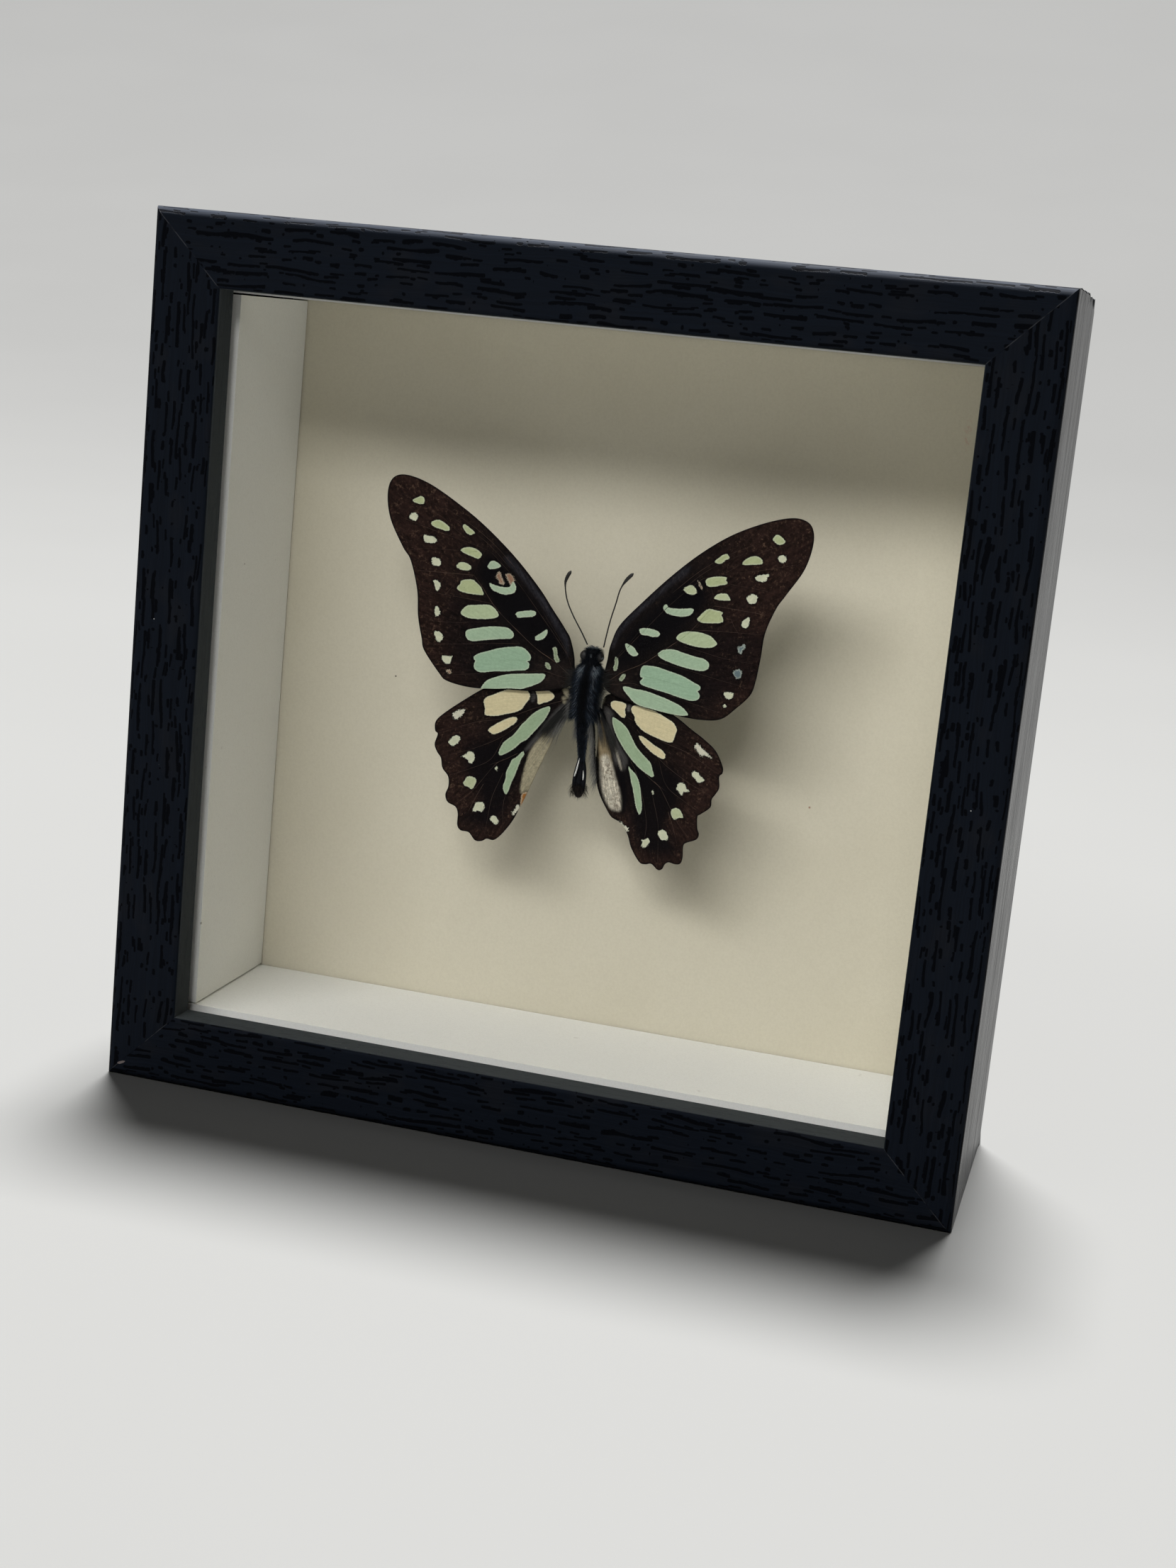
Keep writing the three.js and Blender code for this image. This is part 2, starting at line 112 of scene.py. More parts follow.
# Spots: the name of a tint, then the outline.
SPOTS_FOREWING_LEFT = [
    ("lime", [(32.6, 30.4), (32.1, 30.9), (31.2, 31.3), (30.6, 30.9), (30.7, 30.1), (31.6, 30)]),
    ("pale", [(32.9, 27.4), (32.7, 28.1), (32.1, 28.4), (31.6, 28.1), (31.5, 27.6), (31.9, 27),
              (32.4, 27.2)]),
    ("lime", [(29.2, 26.9), (28.7, 27.4), (27.8, 27.6), (26.9, 27.2), (26.1, 26.6), (26, 26),
              (26.6, 25.9), (27.6, 26.1), (28.7, 26.4)]),
    ("lime", [(23.8, 26.9), (23.5, 27.3), (22.8, 26.9), (21.9, 26.3), (21.6, 26), (22, 25.8),
              (22.5, 25.6), (23.2, 26)]),
    ("pale", [(30.2, 24.8), (29.5, 24.7), (28.4, 24.6), (28, 24.1), (28.2, 23.7), (29.1, 23.5),
              (30, 23.7)]),
    ("lime", [(23.8, 22.8), (23.3, 23.3), (22.3, 23.5), (21.2, 23.3), (20.3, 22.7), (20.2, 22.3),
              (20.7, 21.7), (21.9, 22), (22.9, 22.3)]),
    ("pale", [(28.6, 20.9), (28.2, 21.1), (27.4, 21), (27, 20.3), (27.2, 19.8), (27.8, 19.7),
              (28.4, 19.9)]),
    ("sage", [(24.3, 20.1), (23.8, 20.7), (22.9, 20.8), (22.1, 20.5), (21.8, 20), (22.2, 19.5),
              (23.3, 19.5), (24, 19.7)]),
    ("ice", [(19, 20.7), (18.6, 21.4), (18, 21.6), (17.3, 21.3), (16.8, 20.8), (17.2, 20.5),
             (18, 20.2), (18.8, 20.2)]),
    ("ice", [(18.5, 17.6), (18.3, 17.7), (17.7, 17.5), (16.6, 17.3), (15.5, 17.3), (14.9, 17.6),
             (14.8, 18.3), (14.4, 18.3), (14, 17.6), (14, 16.8), (14.6, 16.3), (15.8, 16),
             (17.1, 16.3), (18, 16.7)]),
    ("bare", [(15.8, 19.5), (15.2, 19.7), (14.6, 19.2), (14.3, 18.5), (14.9, 17.9), (15.3, 18.3),
              (15.7, 19)]),
    ("bare", [(17, 19.9), (16.7, 19.4), (16.3, 18.5), (16, 17.9), (16.6, 17.7), (17, 18.3),
              (17.5, 19)]),
    ("pale", [(28, 17.1), (27.5, 17.3), (26.9, 16.9), (26.7, 16.3), (27, 15.6), (27.4, 15.5),
              (27.7, 16.4)]),
    ("lime", [(23.9, 16.3), (23.4, 17.1), (23.3, 17.6), (22.6, 17.9), (21.4, 18), (20.7, 17.6),
              (20, 17), (19.5, 16.2), (19.4, 15.6), (20.5, 15.5), (22.1, 15.6), (23.3, 15.8)]),
    ("pale", [(27.3, 12.6), (27, 12.8), (26.5, 12.2), (26.4, 11.5), (26.9, 11), (27.2, 11.4),
              (27.3, 11.9)]),
    ("leaf", [(22.9, 12.2), (22.5, 12.9), (21.8, 13.5), (20.5, 13.7), (19.2, 13.9), (18, 13.9),
              (17.1, 13.3), (16.6, 12.7), (16.5, 12.2), (17.1, 11.8), (18.4, 11.5), (20.3, 11.3),
              (21.8, 11.4), (22.6, 11.7)]),
    ("ice", [(13.6, 12.9), (13.2, 13.3), (12.1, 13.6), (10.8, 13.8), (10.2, 13.5), (10.3, 13),
             (10.9, 12.7), (12.1, 12.5), (13.1, 12.3), (13.4, 12.6)]),
    ("ice", [(10, 9.2), (9.5, 9.7), (8.7, 10.3), (8.1, 10.8), (8, 10.1), (8.3, 9.4), (8.9, 8.9),
             (9.7, 8.7)]),
    ("mint", [(21.8, 8.5), (21.6, 9.2), (20.5, 9.6), (19, 10), (17.4, 10.3), (15.8, 10.4),
              (14.6, 10.3), (13.8, 9.7), (13.6, 9.2), (13.9, 8.6), (15, 8.4), (16.9, 8.1),
              (19, 7.7), (20.5, 7.4), (21.4, 7.7)]),
    ("pale", [(27.1, 8.3), (26.7, 8.5), (25.8, 8.1), (25.6, 7.4), (26, 6.7), (26.6, 6.9),
              (26.9, 7.6)]),
    ("aqua", [(20, 4.8), (19.2, 5.4), (17.7, 6), (15.8, 6.7), (14, 7.1), (12.4, 7.3), (11.5, 7),
              (10.8, 6.4), (10.4, 5.8), (10.5, 5.1), (11, 4.9), (10.6, 4.6), (10.6, 3.8),
              (11.3, 3.3), (12.7, 3.1), (14.2, 2.8), (16.3, 2.6), (18.2, 2.2), (19.2, 2.3),
              (19.8, 2.8), (19.9, 3.5), (19.7, 4), (20, 4.4)]),
    ("mint", [(18.4, -0.7), (18, 0.1), (17.4, 0.9), (15.8, 1.7), (14, 2.3), (12.1, 2.6),
              (10.3, 2.8), (8.7, 3), (7.7, 3), (7.8, 2.2), (8.4, 1.5), (9.4, 0.9), (10.5, 0.4),
              (11.6, 0), (13.4, -0.1), (15.5, -0.4), (17.4, -0.7)]),
    ("pale", [(25.5, 4.2), (25, 4.4), (24.2, 4.3), (23.7, 4.5), (23.9, 3.8), (24, 3.1), (24.6, 3),
              (25.2, 3.4)]),
    ("moss", [(6.8, 7.7), (6.3, 7.9), (6, 7.2), (5.8, 6.2), (5.4, 5.8), (5.6, 5.3), (6.2, 5.4),
              (6.5, 6.4), (6.6, 7)]),
    ("moss", [(7.8, 5), (7.3, 5), (6.9, 4.4), (6.8, 4), (7.2, 3.9), (7.7, 4.3)]),
    ("bare", [(24.5, 1.9), (24, 2), (23.6, 1.7), (23.9, 1.3), (24.4, 1.5)]),
]
SPOTS_FOREWING_RIGHT = [
    ("lime", [(30.1, 31.2), (30.6, 31.9), (31.2, 31.9), (31.8, 31.5), (32.3, 31), (31.9, 30.6),
              (31.1, 30.4), (30.4, 30.8)]),
    ("pale", [(31.4, 28.5), (31.9, 28.7), (32.6, 28.7), (32.8, 28.1), (32.4, 27.6), (31.8, 27.6),
              (31.4, 28)]),
    ("lime", [(25.3, 26.4), (25.5, 26.9), (26, 27.4), (26.9, 27.9), (27.8, 28), (28.6, 27.6),
              (28.8, 27), (28.1, 26.7), (26.8, 26.5), (25.9, 26.3)]),
    ("lime", [(20.4, 26.1), (20.9, 26.7), (21.7, 27.4), (22.3, 27.7), (22.8, 27.4), (22.9, 27),
              (22.3, 26.7), (21.8, 26.1), (21.1, 25.9)]),
    ("pale", [(27.8, 24.4), (28.1, 24.8), (28.9, 25.1), (30.2, 25.3), (29.8, 24.7), (29.9, 24.4),
              (29.3, 24), (28.4, 24), (28, 24.2)]),
    ("lime", [(19.2, 22.6), (19.4, 23.1), (20.2, 23.5), (21.5, 23.8), (22.8, 23.8), (22.7, 23.3),
              (23, 23.1), (22.9, 22.7), (22, 22.4), (20.7, 22), (19.7, 21.9)]),
    ("pale", [(26.7, 20.9), (27, 21.3), (27.6, 21.7), (28.5, 21.5), (28.5, 20.9), (28.3, 20.3),
              (27.7, 20.1), (27.1, 20.2)]),
    ("sage", [(21, 20.2), (21.4, 20.7), (22, 21), (23.1, 21.1), (23.5, 20.7), (23.9, 20.2),
              (23.2, 20), (22, 19.9), (21.2, 20)]),
    ("sage", [(15.4, 20.8), (15.9, 21.3), (16.7, 21.7), (17.4, 21.4), (17.8, 20.7), (17.6, 20.3),
              (16.8, 20.1), (16, 20.3)]),
    ("ice", [(12.1, 17.2), (12.3, 17.7), (12.7, 17.8), (13, 17.4), (13.5, 17.3), (14.7, 17.4),
             (16, 17.6), (17.3, 17.8), (17.6, 17.6), (17.4, 17), (16.8, 16.5), (15.7, 16.2),
             (14.4, 16.1), (13.1, 16.3), (12.4, 16.7)]),
    ("pale", [(26.7, 17.2), (27.2, 17.7), (27.6, 17.7), (27.6, 16.9), (27.4, 16.1), (26.8, 16),
              (26.3, 16.3), (26.4, 16.8)]),
    ("lime", [(18.4, 16.1), (18.9, 16.9), (19.6, 17.7), (20.3, 18.2), (21.4, 18.1), (22.6, 18),
              (22.8, 17.8), (22.6, 17.4), (23, 16.9), (23, 16.4), (22.4, 16.1), (21.3, 15.9),
              (19.4, 15.7)]),
    ("slate", [(26.1, 12.6), (26.7, 12.8), (27.2, 13.3), (27.4, 12.6), (27, 12.2), (26.9, 11.6),
               (26.4, 11.8)]),
    ("leaf", [(15, 12.4), (15.4, 13.1), (16.1, 13.6), (17.3, 13.9), (19.1, 14), (21, 13.7),
              (21.9, 13.1), (22.4, 12.6), (22, 12.1), (21.1, 11.7), (19.1, 11.5), (17, 11.7),
              (15.7, 12)]),
    ("ice", [(8.2, 12.8), (8.5, 13.1), (9.4, 13.3), (10.7, 13.3), (11.7, 13), (12, 12.7),
             (11.7, 12.2), (10.7, 12), (9.7, 12.1), (8.6, 12.1)]),
    ("ice", [(5.9, 10.1), (6.7, 10), (7.6, 9.6), (8.1, 9), (8.4, 8.7), (8.1, 8.3), (7.3, 8.2),
             (6.5, 8.7), (6, 9.4)]),
    ("mint", [(12, 9.2), (12.6, 9.9), (13.6, 10.3), (15, 10.4), (16.8, 10.1), (18.9, 9.8),
              (20.3, 9.7), (21.2, 9.2), (21.4, 8.6), (21.1, 8), (20.1, 7.6), (18.4, 7.6),
              (16.3, 7.8), (14.1, 8.2), (12.7, 8.6)]),
    ("slate", [(25.8, 8.3), (26.4, 8.8), (27, 8.9), (27.3, 8.3), (27.2, 7.8), (26.8, 7.3),
               (26.2, 7.5)]),
    ("aqua", [(9.1, 5.3), (9.2, 6.3), (9.7, 6.9), (10.7, 7), (12.3, 7), (14.1, 6.7), (16, 6.4),
              (17.6, 6), (19.1, 5.4), (20.2, 5), (20.2, 4.3), (19.8, 4.1), (20.2, 3.7),
              (20.3, 3.1), (19.9, 2.6), (18.9, 2.3), (16.8, 2.5), (14.1, 2.9), (11.5, 3.2),
              (9.7, 3.5), (9.2, 4), (9.7, 4.7), (9.3, 4.8)]),
    ("mint", [(6.2, 2.6), (7, 2.8), (8.4, 2.6), (10.2, 2.6), (12.3, 2.3), (14.7, 1.8), (16.8, 1.2),
              (18, 0.5), (18.6, -0.2), (18.1, -0.4), (16.5, -0.6), (14.1, -0.5), (12, -0.3),
              (9.7, -0.1), (8.4, 0.4), (7.3, 1.3), (6.6, 1.9)]),
    ("pale", [(24.5, 4.3), (24.8, 4.7), (25.5, 4.8), (26.2, 4.7), (26.2, 4.2), (25.8, 3.7),
              (25.1, 3.7)]),
    ("pale", [(24.6, 2.4), (24.9, 2.7), (25.2, 2.4), (24.9, 2.1)]),
    ("moss", [(4.2, 7.2), (4.5, 7.6), (4.9, 7), (4.9, 6.2), (4.8, 5.4), (4.4, 5.1), (4.1, 5.6),
              (4.3, 6.4)]),
    ("moss", [(5.4, 4), (5.9, 4.7), (6.5, 4.8), (6.4, 4.3), (6, 3.7), (5.5, 3.6)]),
    ("bare", [(17.8, 22.6), (18.1, 22.4), (18.8, 21.4), (18.5, 21.3)]),
]
SPOTS_HINDWING_LEFT = [
    ("cream", [(17.9, -3), (17.5, -2.2), (16.5, -1.7), (15, -0.9), (13.5, -0.3), (11.7, -0.1),
               (10.5, -0.4), (10.1, -1.3), (10.4, -2.1), (10.9, -2.9), (11.2, -3.5), (12.2, -4.2),
               (13.9, -4.8), (15.7, -5.3), (17.2, -5.4), (17.6, -5.1), (17.6, -4.2)]),
    ("cream", [(9.2, 0), (8, 0.2), (6.8, 0), (6.1, -0.5), (6, -1), (6.7, -1.7), (7.6, -2.1),
               (8.6, -2.5), (8.8, -1.6), (8.9, -1)]),
    ("cream", [(16.7, -8.1), (16.5, -7.6), (15.8, -7), (15, -6.4), (13.9, -5.7), (12.8, -5.2),
               (12, -5.2), (11.9, -5.6), (12.3, -6.3), (13, -6.9), (13.9, -7.6), (14.8, -8.2),
               (15.8, -8.6), (16.2, -8.4)]),
    ("fern", [(14.6, -11.9), (14.4, -11), (14, -10), (13.3, -9.2), (12.4, -8.4), (11.7, -7.4),
              (11.1, -6.4), (10.2, -5.3), (9.4, -4.3), (8.3, -3.4), (7.2, -2.8), (6.6, -2.7),
              (6.5, -3.1), (6.7, -3.9), (7.2, -5), (8, -6.2), (8.7, -7.2), (9.4, -8.1), (10, -8.9),
              (10.9, -9.5), (11.7, -10.4), (12.6, -11.2), (13.6, -11.9), (14.2, -12.2)]),
    ("fern", [(10.4, -11), (10.2, -11.6), (10.6, -12.4), (10.9, -13.4), (11.2, -14.5),
              (11.5, -15.6), (11.9, -16.7), (12.1, -17.6), (12.4, -18.6), (12.7, -19),
              (13.1, -18.4), (13.3, -17.6), (13, -16.3), (13, -15), (12.6, -13.9), (12.2, -12.8),
              (11.5, -12.2), (10.9, -11.5)]),
    ("frost", [(23, -5.7), (22.4, -5.3), (21.9, -4.9), (21.1, -4.8), (21.2, -5.5), (21.6, -6),
               (22.4, -6.7), (22.8, -6.4)]),
    ("pale", [(23.3, -10.8), (23, -10.3), (22.5, -9.7), (21.8, -9.5), (21.4, -9.7), (21.5, -10.4),
              (21.9, -11), (22.5, -11.4), (23, -11.2)]),
    ("pale", [(20.9, -13.1), (20.2, -12.7), (19.8, -12.1), (19.1, -12.1), (18.7, -12.5),
              (18.6, -13.3), (18.9, -14), (19.4, -14.1), (19.8, -13.5), (20.4, -13.2)]),
    ("sage", [(20.2, -17.8), (19.9, -17.2), (19.6, -16.6), (18.8, -16.5), (18.1, -16.8),
              (18, -17.4), (18.3, -18.2), (18.7, -18.8), (19.3, -18.4), (19.9, -18.2)]),
    ("pale", [(18.1, -22.6), (18, -21.7), (17.7, -21.1), (17.1, -20.9), (16.4, -21), (16.2, -21.6),
              (16.3, -22.2), (16.7, -22.6), (17.1, -22.4), (17.7, -22.6)]),
    ("pale", [(15, -23.7), (14.7, -23.1), (14, -23.1), (13.8, -23.5), (13.5, -24), (14, -24.6),
              (14.5, -24.2), (14.8, -24)]),
    ("frost", [(11.3, -21.9), (10.9, -21.5), (10.6, -20.7), (10.3, -20.6), (10, -21.3), (10.6, -22),
               (11.1, -22.5), (11.3, -22.2)]),
    ("pale", [(15, -14.6), (14.7, -14.2), (14.5, -14.5), (14.7, -15)]),
    ("rust", [(9.9, -18.6), (9, -18.2), (9.2, -19.5), (9.6, -21), (10, -20.6), (10, -19.4)]),
]
SPOTS_HINDWING_RIGHT = [
    ("cream", [(8, -0.9), (8.5, -0.3), (9.6, -0.3), (11.3, -0.4), (13, -0.9), (14.8, -1.6),
               (16, -2.2), (16.7, -3.2), (16.5, -4.1), (16.3, -5), (16, -5.5), (15, -5.6),
               (13.5, -5.3), (12, -4.9), (10.6, -4.4), (9.8, -3.9), (9, -3.1), (8.7, -2.1),
               (8.2, -1.6)]),
    ("cream", [(4.1, -0.7), (4.5, -0.2), (5.4, -0.1), (6.5, -0.2), (7, -0.5), (6.9, -1.2),
               (6.9, -1.8), (7.1, -2.3), (6.8, -2.8), (6.1, -2.6), (5.1, -1.9), (4.3, -1.4)]),
    ("cream", [(9.9, -5.4), (10.6, -5.4), (11.7, -5.9), (13, -6.6), (14.1, -7), (15, -7.7),
               (15.1, -8.1), (14.9, -8.6), (14.1, -8.5), (13, -8.1), (12, -7.5), (10.9, -6.7),
               (10.2, -6)]),
    ("fern", [(4.7, -3), (5.4, -3.2), (6.5, -3.7), (7.6, -4.5), (8.5, -5.7), (9.3, -6.9),
              (10.2, -7.9), (11.5, -8.9), (12.6, -9.8), (13, -10.8), (13.4, -11.8), (13, -12.1),
              (12.4, -11.9), (11.3, -11.4), (10, -10.6), (8.7, -9.5), (7.6, -8.4), (6.5, -7.1),
              (5.7, -6), (5, -4.7), (4.7, -3.7)]),
    ("fern", [(8.5, -11), (9.1, -11.5), (10, -12.2), (10.6, -13), (11.1, -14.3), (11.4, -15.6),
              (11.7, -16.9), (11.8, -18.2), (11.5, -19), (11.1, -18.6), (10.6, -17.5),
              (10.2, -16.2), (9.8, -14.9), (9.3, -13.6), (8.9, -12.3)]),
    ("frost", [(20.2, -5.5), (20.6, -5), (21.2, -5.2), (21.7, -5.6), (22.4, -6.1), (23.7, -7),
               (23, -6.8), (22.2, -6.6), (21.7, -6.9), (21.2, -6.5), (20.5, -5.9)]),
    ("pale", [(20.3, -10), (20.6, -9.7), (21.3, -9.9), (21.9, -10.4), (22.6, -10.9), (22.2, -11.3),
              (21.5, -11.5), (21, -11), (20.4, -10.5)]),
    ("pale", [(17.8, -13), (18.1, -12.2), (18.9, -12.1), (19.4, -12.5), (19.6, -13), (20.3, -13.2),
              (19.6, -13.5), (19.1, -13.6), (18.8, -14.3), (18.3, -13.7), (17.8, -13.4)]),
    ("sage", [(17.2, -17.3), (17.5, -16.9), (18.2, -16.6), (18.9, -16.9), (19.3, -17.5),
              (19.5, -18.1), (18.8, -18.2), (18.1, -18.7), (17.6, -18.4), (17.3, -17.9)]),
    ("pale", [(15.2, -21.6), (15.5, -21.1), (16.1, -20.9), (16.7, -21.2), (17.1, -21.9),
              (17, -22.5), (16.4, -22.6), (16, -22.7), (15.5, -22.2)]),
    ("pale", [(12.4, -23.4), (12.9, -23.2), (13.4, -22.9), (13.8, -23.2), (13.8, -23.7),
              (13.3, -24.4), (12.7, -24.6), (12.4, -24.3), (12.6, -23.7)]),
    ("frost", [(7.9, -20.9), (8.3, -21), (8.8, -21.5), (9.5, -21.6), (9.8, -22), (9.5, -22.4),
               (8.9, -22.1), (8.1, -21.5)]),
    ("pale", [(13.3, -14.5), (13.6, -14.4), (13.7, -14.9), (13.5, -15.1)]),
]

# Soft areas: tint, strength, how far the edge fades, how frayed by wear it is, then the outline.
AREAS_FOREWING_LEFT = [
    ("night", 0.95, 1.3, 0, [(4, 5), (5.5, 9), (9, 13.5), (13, 17.8), (17, 21.4), (19.2, 22.6),
                             (20.6, 20.5), (20.4, 18.2), (17, 13.6), (13, 10), (9, 7), (6, 5.2)]),
    ("night", 0.5, 1.6, 0.1, [(9, 3), (14, 8), (18, 11), (22, 15), (25, 15), (25, 6), (21, 1.5),
                              (12, 2.6)]),
    ("dust", 0.55, 0.5, 0.2, [(4.2, 6.6), (5.1, 9), (7.2, 12), (9.8, 15.4), (13.3, 19.2),
                              (16, 21.8),
                              (15.6, 22.6), (12.5, 19.7), (8.9, 15.9), (6.2, 12.1), (4.4, 9.3)]),
    ("bark", 0.55, 1.2, 0.2, [(3, 2), (3.4, 5), (6, 6), (9, 4.6), (11, 1.2), (8, 0.3), (4, 1.2)]),
]
AREAS_FOREWING_RIGHT = [
    ("night", 0.95, 1.3, 0, [(4, 6), (5, 10), (8, 14), (12, 18.4), (16, 22), (18.6, 23),
                             (19.6, 20.8), (19.4, 18.5), (16, 14.4), (12, 10.6), (8, 7.4),
                             (5, 5.6)]),
    ("night", 0.55, 1.6, 0.05, [(8, 3), (12.5, 7.5), (16.5, 10.8), (20, 14.6), (30.5, 15),
                                (30.4, 11),
                                (29.6, 6.6), (26, 5.6), (21, 1.6), (12, 2.4)]),
    ("dust", 0.5, 0.5, 0.2, [(3.7, 9), (4.9, 12), (8.1, 15.9), (12.6, 20.6), (16, 23.8),
                             (15.4, 24.6), (11.7, 20.9), (7.3, 16.3), (4.1, 12.4), (3.2, 9.4)]),
    ("bark", 0.5, 1.2, 0.2, [(3, 2), (3.2, 5), (5, 5.2), (8, 3.8), (9, 1), (6, 0.3), (4, 1.2)]),
]
AREAS_HINDWING_LEFT = [
    ("night", 0.9, 1.6, 0, [(7, -3), (11, -8), (17, -9.6), (20, -11), (19.6, -16), (17, -21),
                            (20, -24), (15, -25), (12, -21), (10.5, -14), (8, -9)]),
    ("fog", 0.75, 0.35, 0.1, [(3.4, -1.2), (5, -2.6), (6.3, -4.4), (8.6, -8.2), (10.2, -10.8),
                              (9.4, -10.4), (7.4, -8), (5.4, -5), (3.8, -3)]),
    ("beige", 0.95, 0.22, 0, [(5.2, -4.3), (6.5, -6.2), (7.8, -8.4), (8.9, -10.2), (9.5, -11.9),
                              (9.9, -14.1), (10.2, -16.3), (10.2, -18.4), (9.2, -18.6), (7.8, -16),
                              (6.9, -13.6), (6, -11), (5.1, -8.8), (4.3, -7.3), (3.6, -5.6)]),
    ("beige", 0.8, 0.2, 0, [(4.6, 0.7), (3.9, 1), (3.5, 0.2), (3.5, -0.8), (4, -0.6), (4.4, 0)]),
    ("beige", 0.7, 0.2, 0, [(4.6, -0.8), (4, -0.7), (3.9, -1.6), (4.3, -1.9)]),
    ("fog", 0.5, 0.3, 0.2, [(9, -1), (9.6, -0.2), (10, -1.2), (9.6, -2.2)]),
]
AREAS_HINDWING_RIGHT = [
    ("night", 0.9, 1.6, 0, [(6, -6), (10, -9), (16, -9.6), (18.6, -11), (18.6, -16), (16.6, -20),
                            (19, -24), (14, -25.6), (10.6, -22), (8.6, -14), (7, -9)]),
    ("fog", 0.7, 0.5, 0.1, [(3, -1.6), (4.6, -2.4), (5.2, -5.4), (6.8, -8), (8.2, -10), (7.6, -12),
                            (6.4, -11.4), (5.2, -9.4), (4.4, -6.4), (3.2, -3.4)]),
    ("night", 0.9, 0.3, 0, [(6.6, -9.4), (7.6, -11.6), (8.6, -14.4), (9, -17), (8.6, -19.4),
                            (7.9, -19.2), (7.8, -17), (7.2, -14.4), (6.4, -12.4)]),
    ("tan", 0.9, 0.45, 0, [(2.1, -3.2), (2.9, -4.2), (3.6, -6), (4.3, -8), (5, -10), (5.4, -12.6),
                           (4.4, -13.4), (3.2, -11.4), (2.8, -10), (2.5, -8), (2.3, -6)]),
    ("silver", 0.95, 0.5, 0, [(3.3, -10.4), (4.3, -9.8), (5.3, -11.2), (6, -13), (6.6, -14.3),
                              (7.3, -15.8), (7.7, -17.5), (7.7, -18.9), (7.2, -19), (6.3, -18.9),
                              (5.4, -18.3), (4.7, -17.3), (4.1, -15.8), (3.7, -14.3),
                              (3.4, -12.8)]),
    ("silver", 0.6, 0.15, 0, [(5.6, -8), (6.3, -9), (7, -10.6), (7.4, -12), (6.9, -11.3),
                              (6.3, -9.9)]),
    ("beige", 0.75, 0.2, 0, [(2.3, 0), (2.9, 0.3), (2.7, -0.8), (2.4, -1.4)]),
    ("fog", 0.8, 0.2, 0.2, [(7.2, -0.4), (7.9, -0.5), (8, -1.3), (7.3, -1.5)]),
]

# Veins: thickness of the line in millimetres and how far it stands out, then its course.
VEINS_FOREWING = [
    (0.11, 1.0, [(3.2, 3), (6, 5.2), (9.5, 7.2), (13, 10), (17, 13.5), (19.7, 17), (21.2, 18.8)]),
    (0.08, 0.5, [(3.6, 6), (8, 11.5), (13, 17.5), (17.5, 22), (19.6, 23.4), (25, 24.9)]),
    (0.06, 0.4, [(19.6, 23.4), (20.6, 21), (21.2, 18.8)]),
    (0.09, 0.8, [(21.2, 18.8), (26, 18.7), (31, 18.6)]),
    (0.07, 0.55, [(17.6, 14.2), (20.5, 14.5), (25, 14.9), (30, 15.2)]),
    (0.06, 0.5, [(25.8, 15), (25, 16), (24.3, 17.2)]),
    (0.06, 0.45, [(16.6, 11.2), (20, 10.8), (24, 10.3), (29.8, 10.2)]),
    (0.07, 0.5, [(12.4, 7.8), (17, 7.4), (21.6, 6.8), (28.4, 6)]),
    (0.05, 0.5, [(10, 5), (13, 4.9), (17, 4.4), (20.3, 4.1)]),
    (0.07, 0.45, [(9.7, 3.2), (14.5, 2.6), (19.5, 1.8), (25.2, 0.9)]),
    (0.07, 0.5, [(25, 24.9), (29.5, 26), (34.6, 27.5)]),
    (0.06, 0.4, [(22.5, 24.5), (25.4, 26.6), (28, 28.5), (34.5, 31.5)]),
    (0.06, 0.4, [(21, 22.9), (25.6, 22.7), (30, 22.5), (33, 21.8)]),
    (0.07, 0.7, [(13.5, 19.9), (18, 24.2), (22.5, 27.4), (27, 29.8)]),
    (0.06, 0.6, [(15, 20.4), (19, 24.2), (23.4, 27), (26, 28.4)]),
    (0.07, 0.6, [(3, 2.6), (5.5, 3), (8, 3.5), (10.6, 3)]),
    (0.06, 0.5, [(3.2, 4.4), (4.6, 7.6), (6.8, 10.6), (9.4, 14.2)]),
]
VEINS_HINDWING = [
    (0.08, 0.6, [(3.5, -1), (9, -3.2), (14, -5.6), (19, -6.8), (25, -9.4)]),
    (0.07, 0.6, [(9.5, -4.4), (14, -8.7), (19, -11.5), (24.4, -13.6)]),
    (0.07, 0.6, [(14, -9), (15.8, -13), (19, -15), (23, -16.8)]),
    (0.07, 0.8, [(11.3, -11.5), (13.7, -13), (16, -14.1)]),
    (0.07, 0.8, [(13.6, -12.8), (15.2, -14.2), (18.5, -19), (21.4, -21.8)]),
    (0.07, 0.9, [(16.7, -17.6), (17.8, -20), (18.9, -22.8)]),
    (0.06, 0.6, [(13.5, -15.2), (15, -19.7), (15.4, -23), (15.8, -27)]),
    (0.07, 0.7, [(5, -4), (8.5, -9.5), (10.6, -13), (12.9, -20), (12.5, -26)]),
]

# Antennae: points from the head to the tip of the club, as in the solid model.
ANTENNA_LEFT = [
    (-0.7, 9.1, -22.9), (-1.9, 11.2, -22.6), (-3.6, 13.9, -22.3), (-4.8, 16.4, -22),
    (-5.3, 19, -21.7), (-5, 20.4, -21.5), (-4.4, 21.5, -21.4),
]
ANTENNA_RIGHT = [
    (2.2, 9, -22.9), (2.6, 11.4, -22.6), (3.1, 14, -22.3), (3.8, 16.8, -22), (4.4, 19.3, -21.7),
    (5.3, 21, -21.5), (6.5, 22.4, -21.4),
]

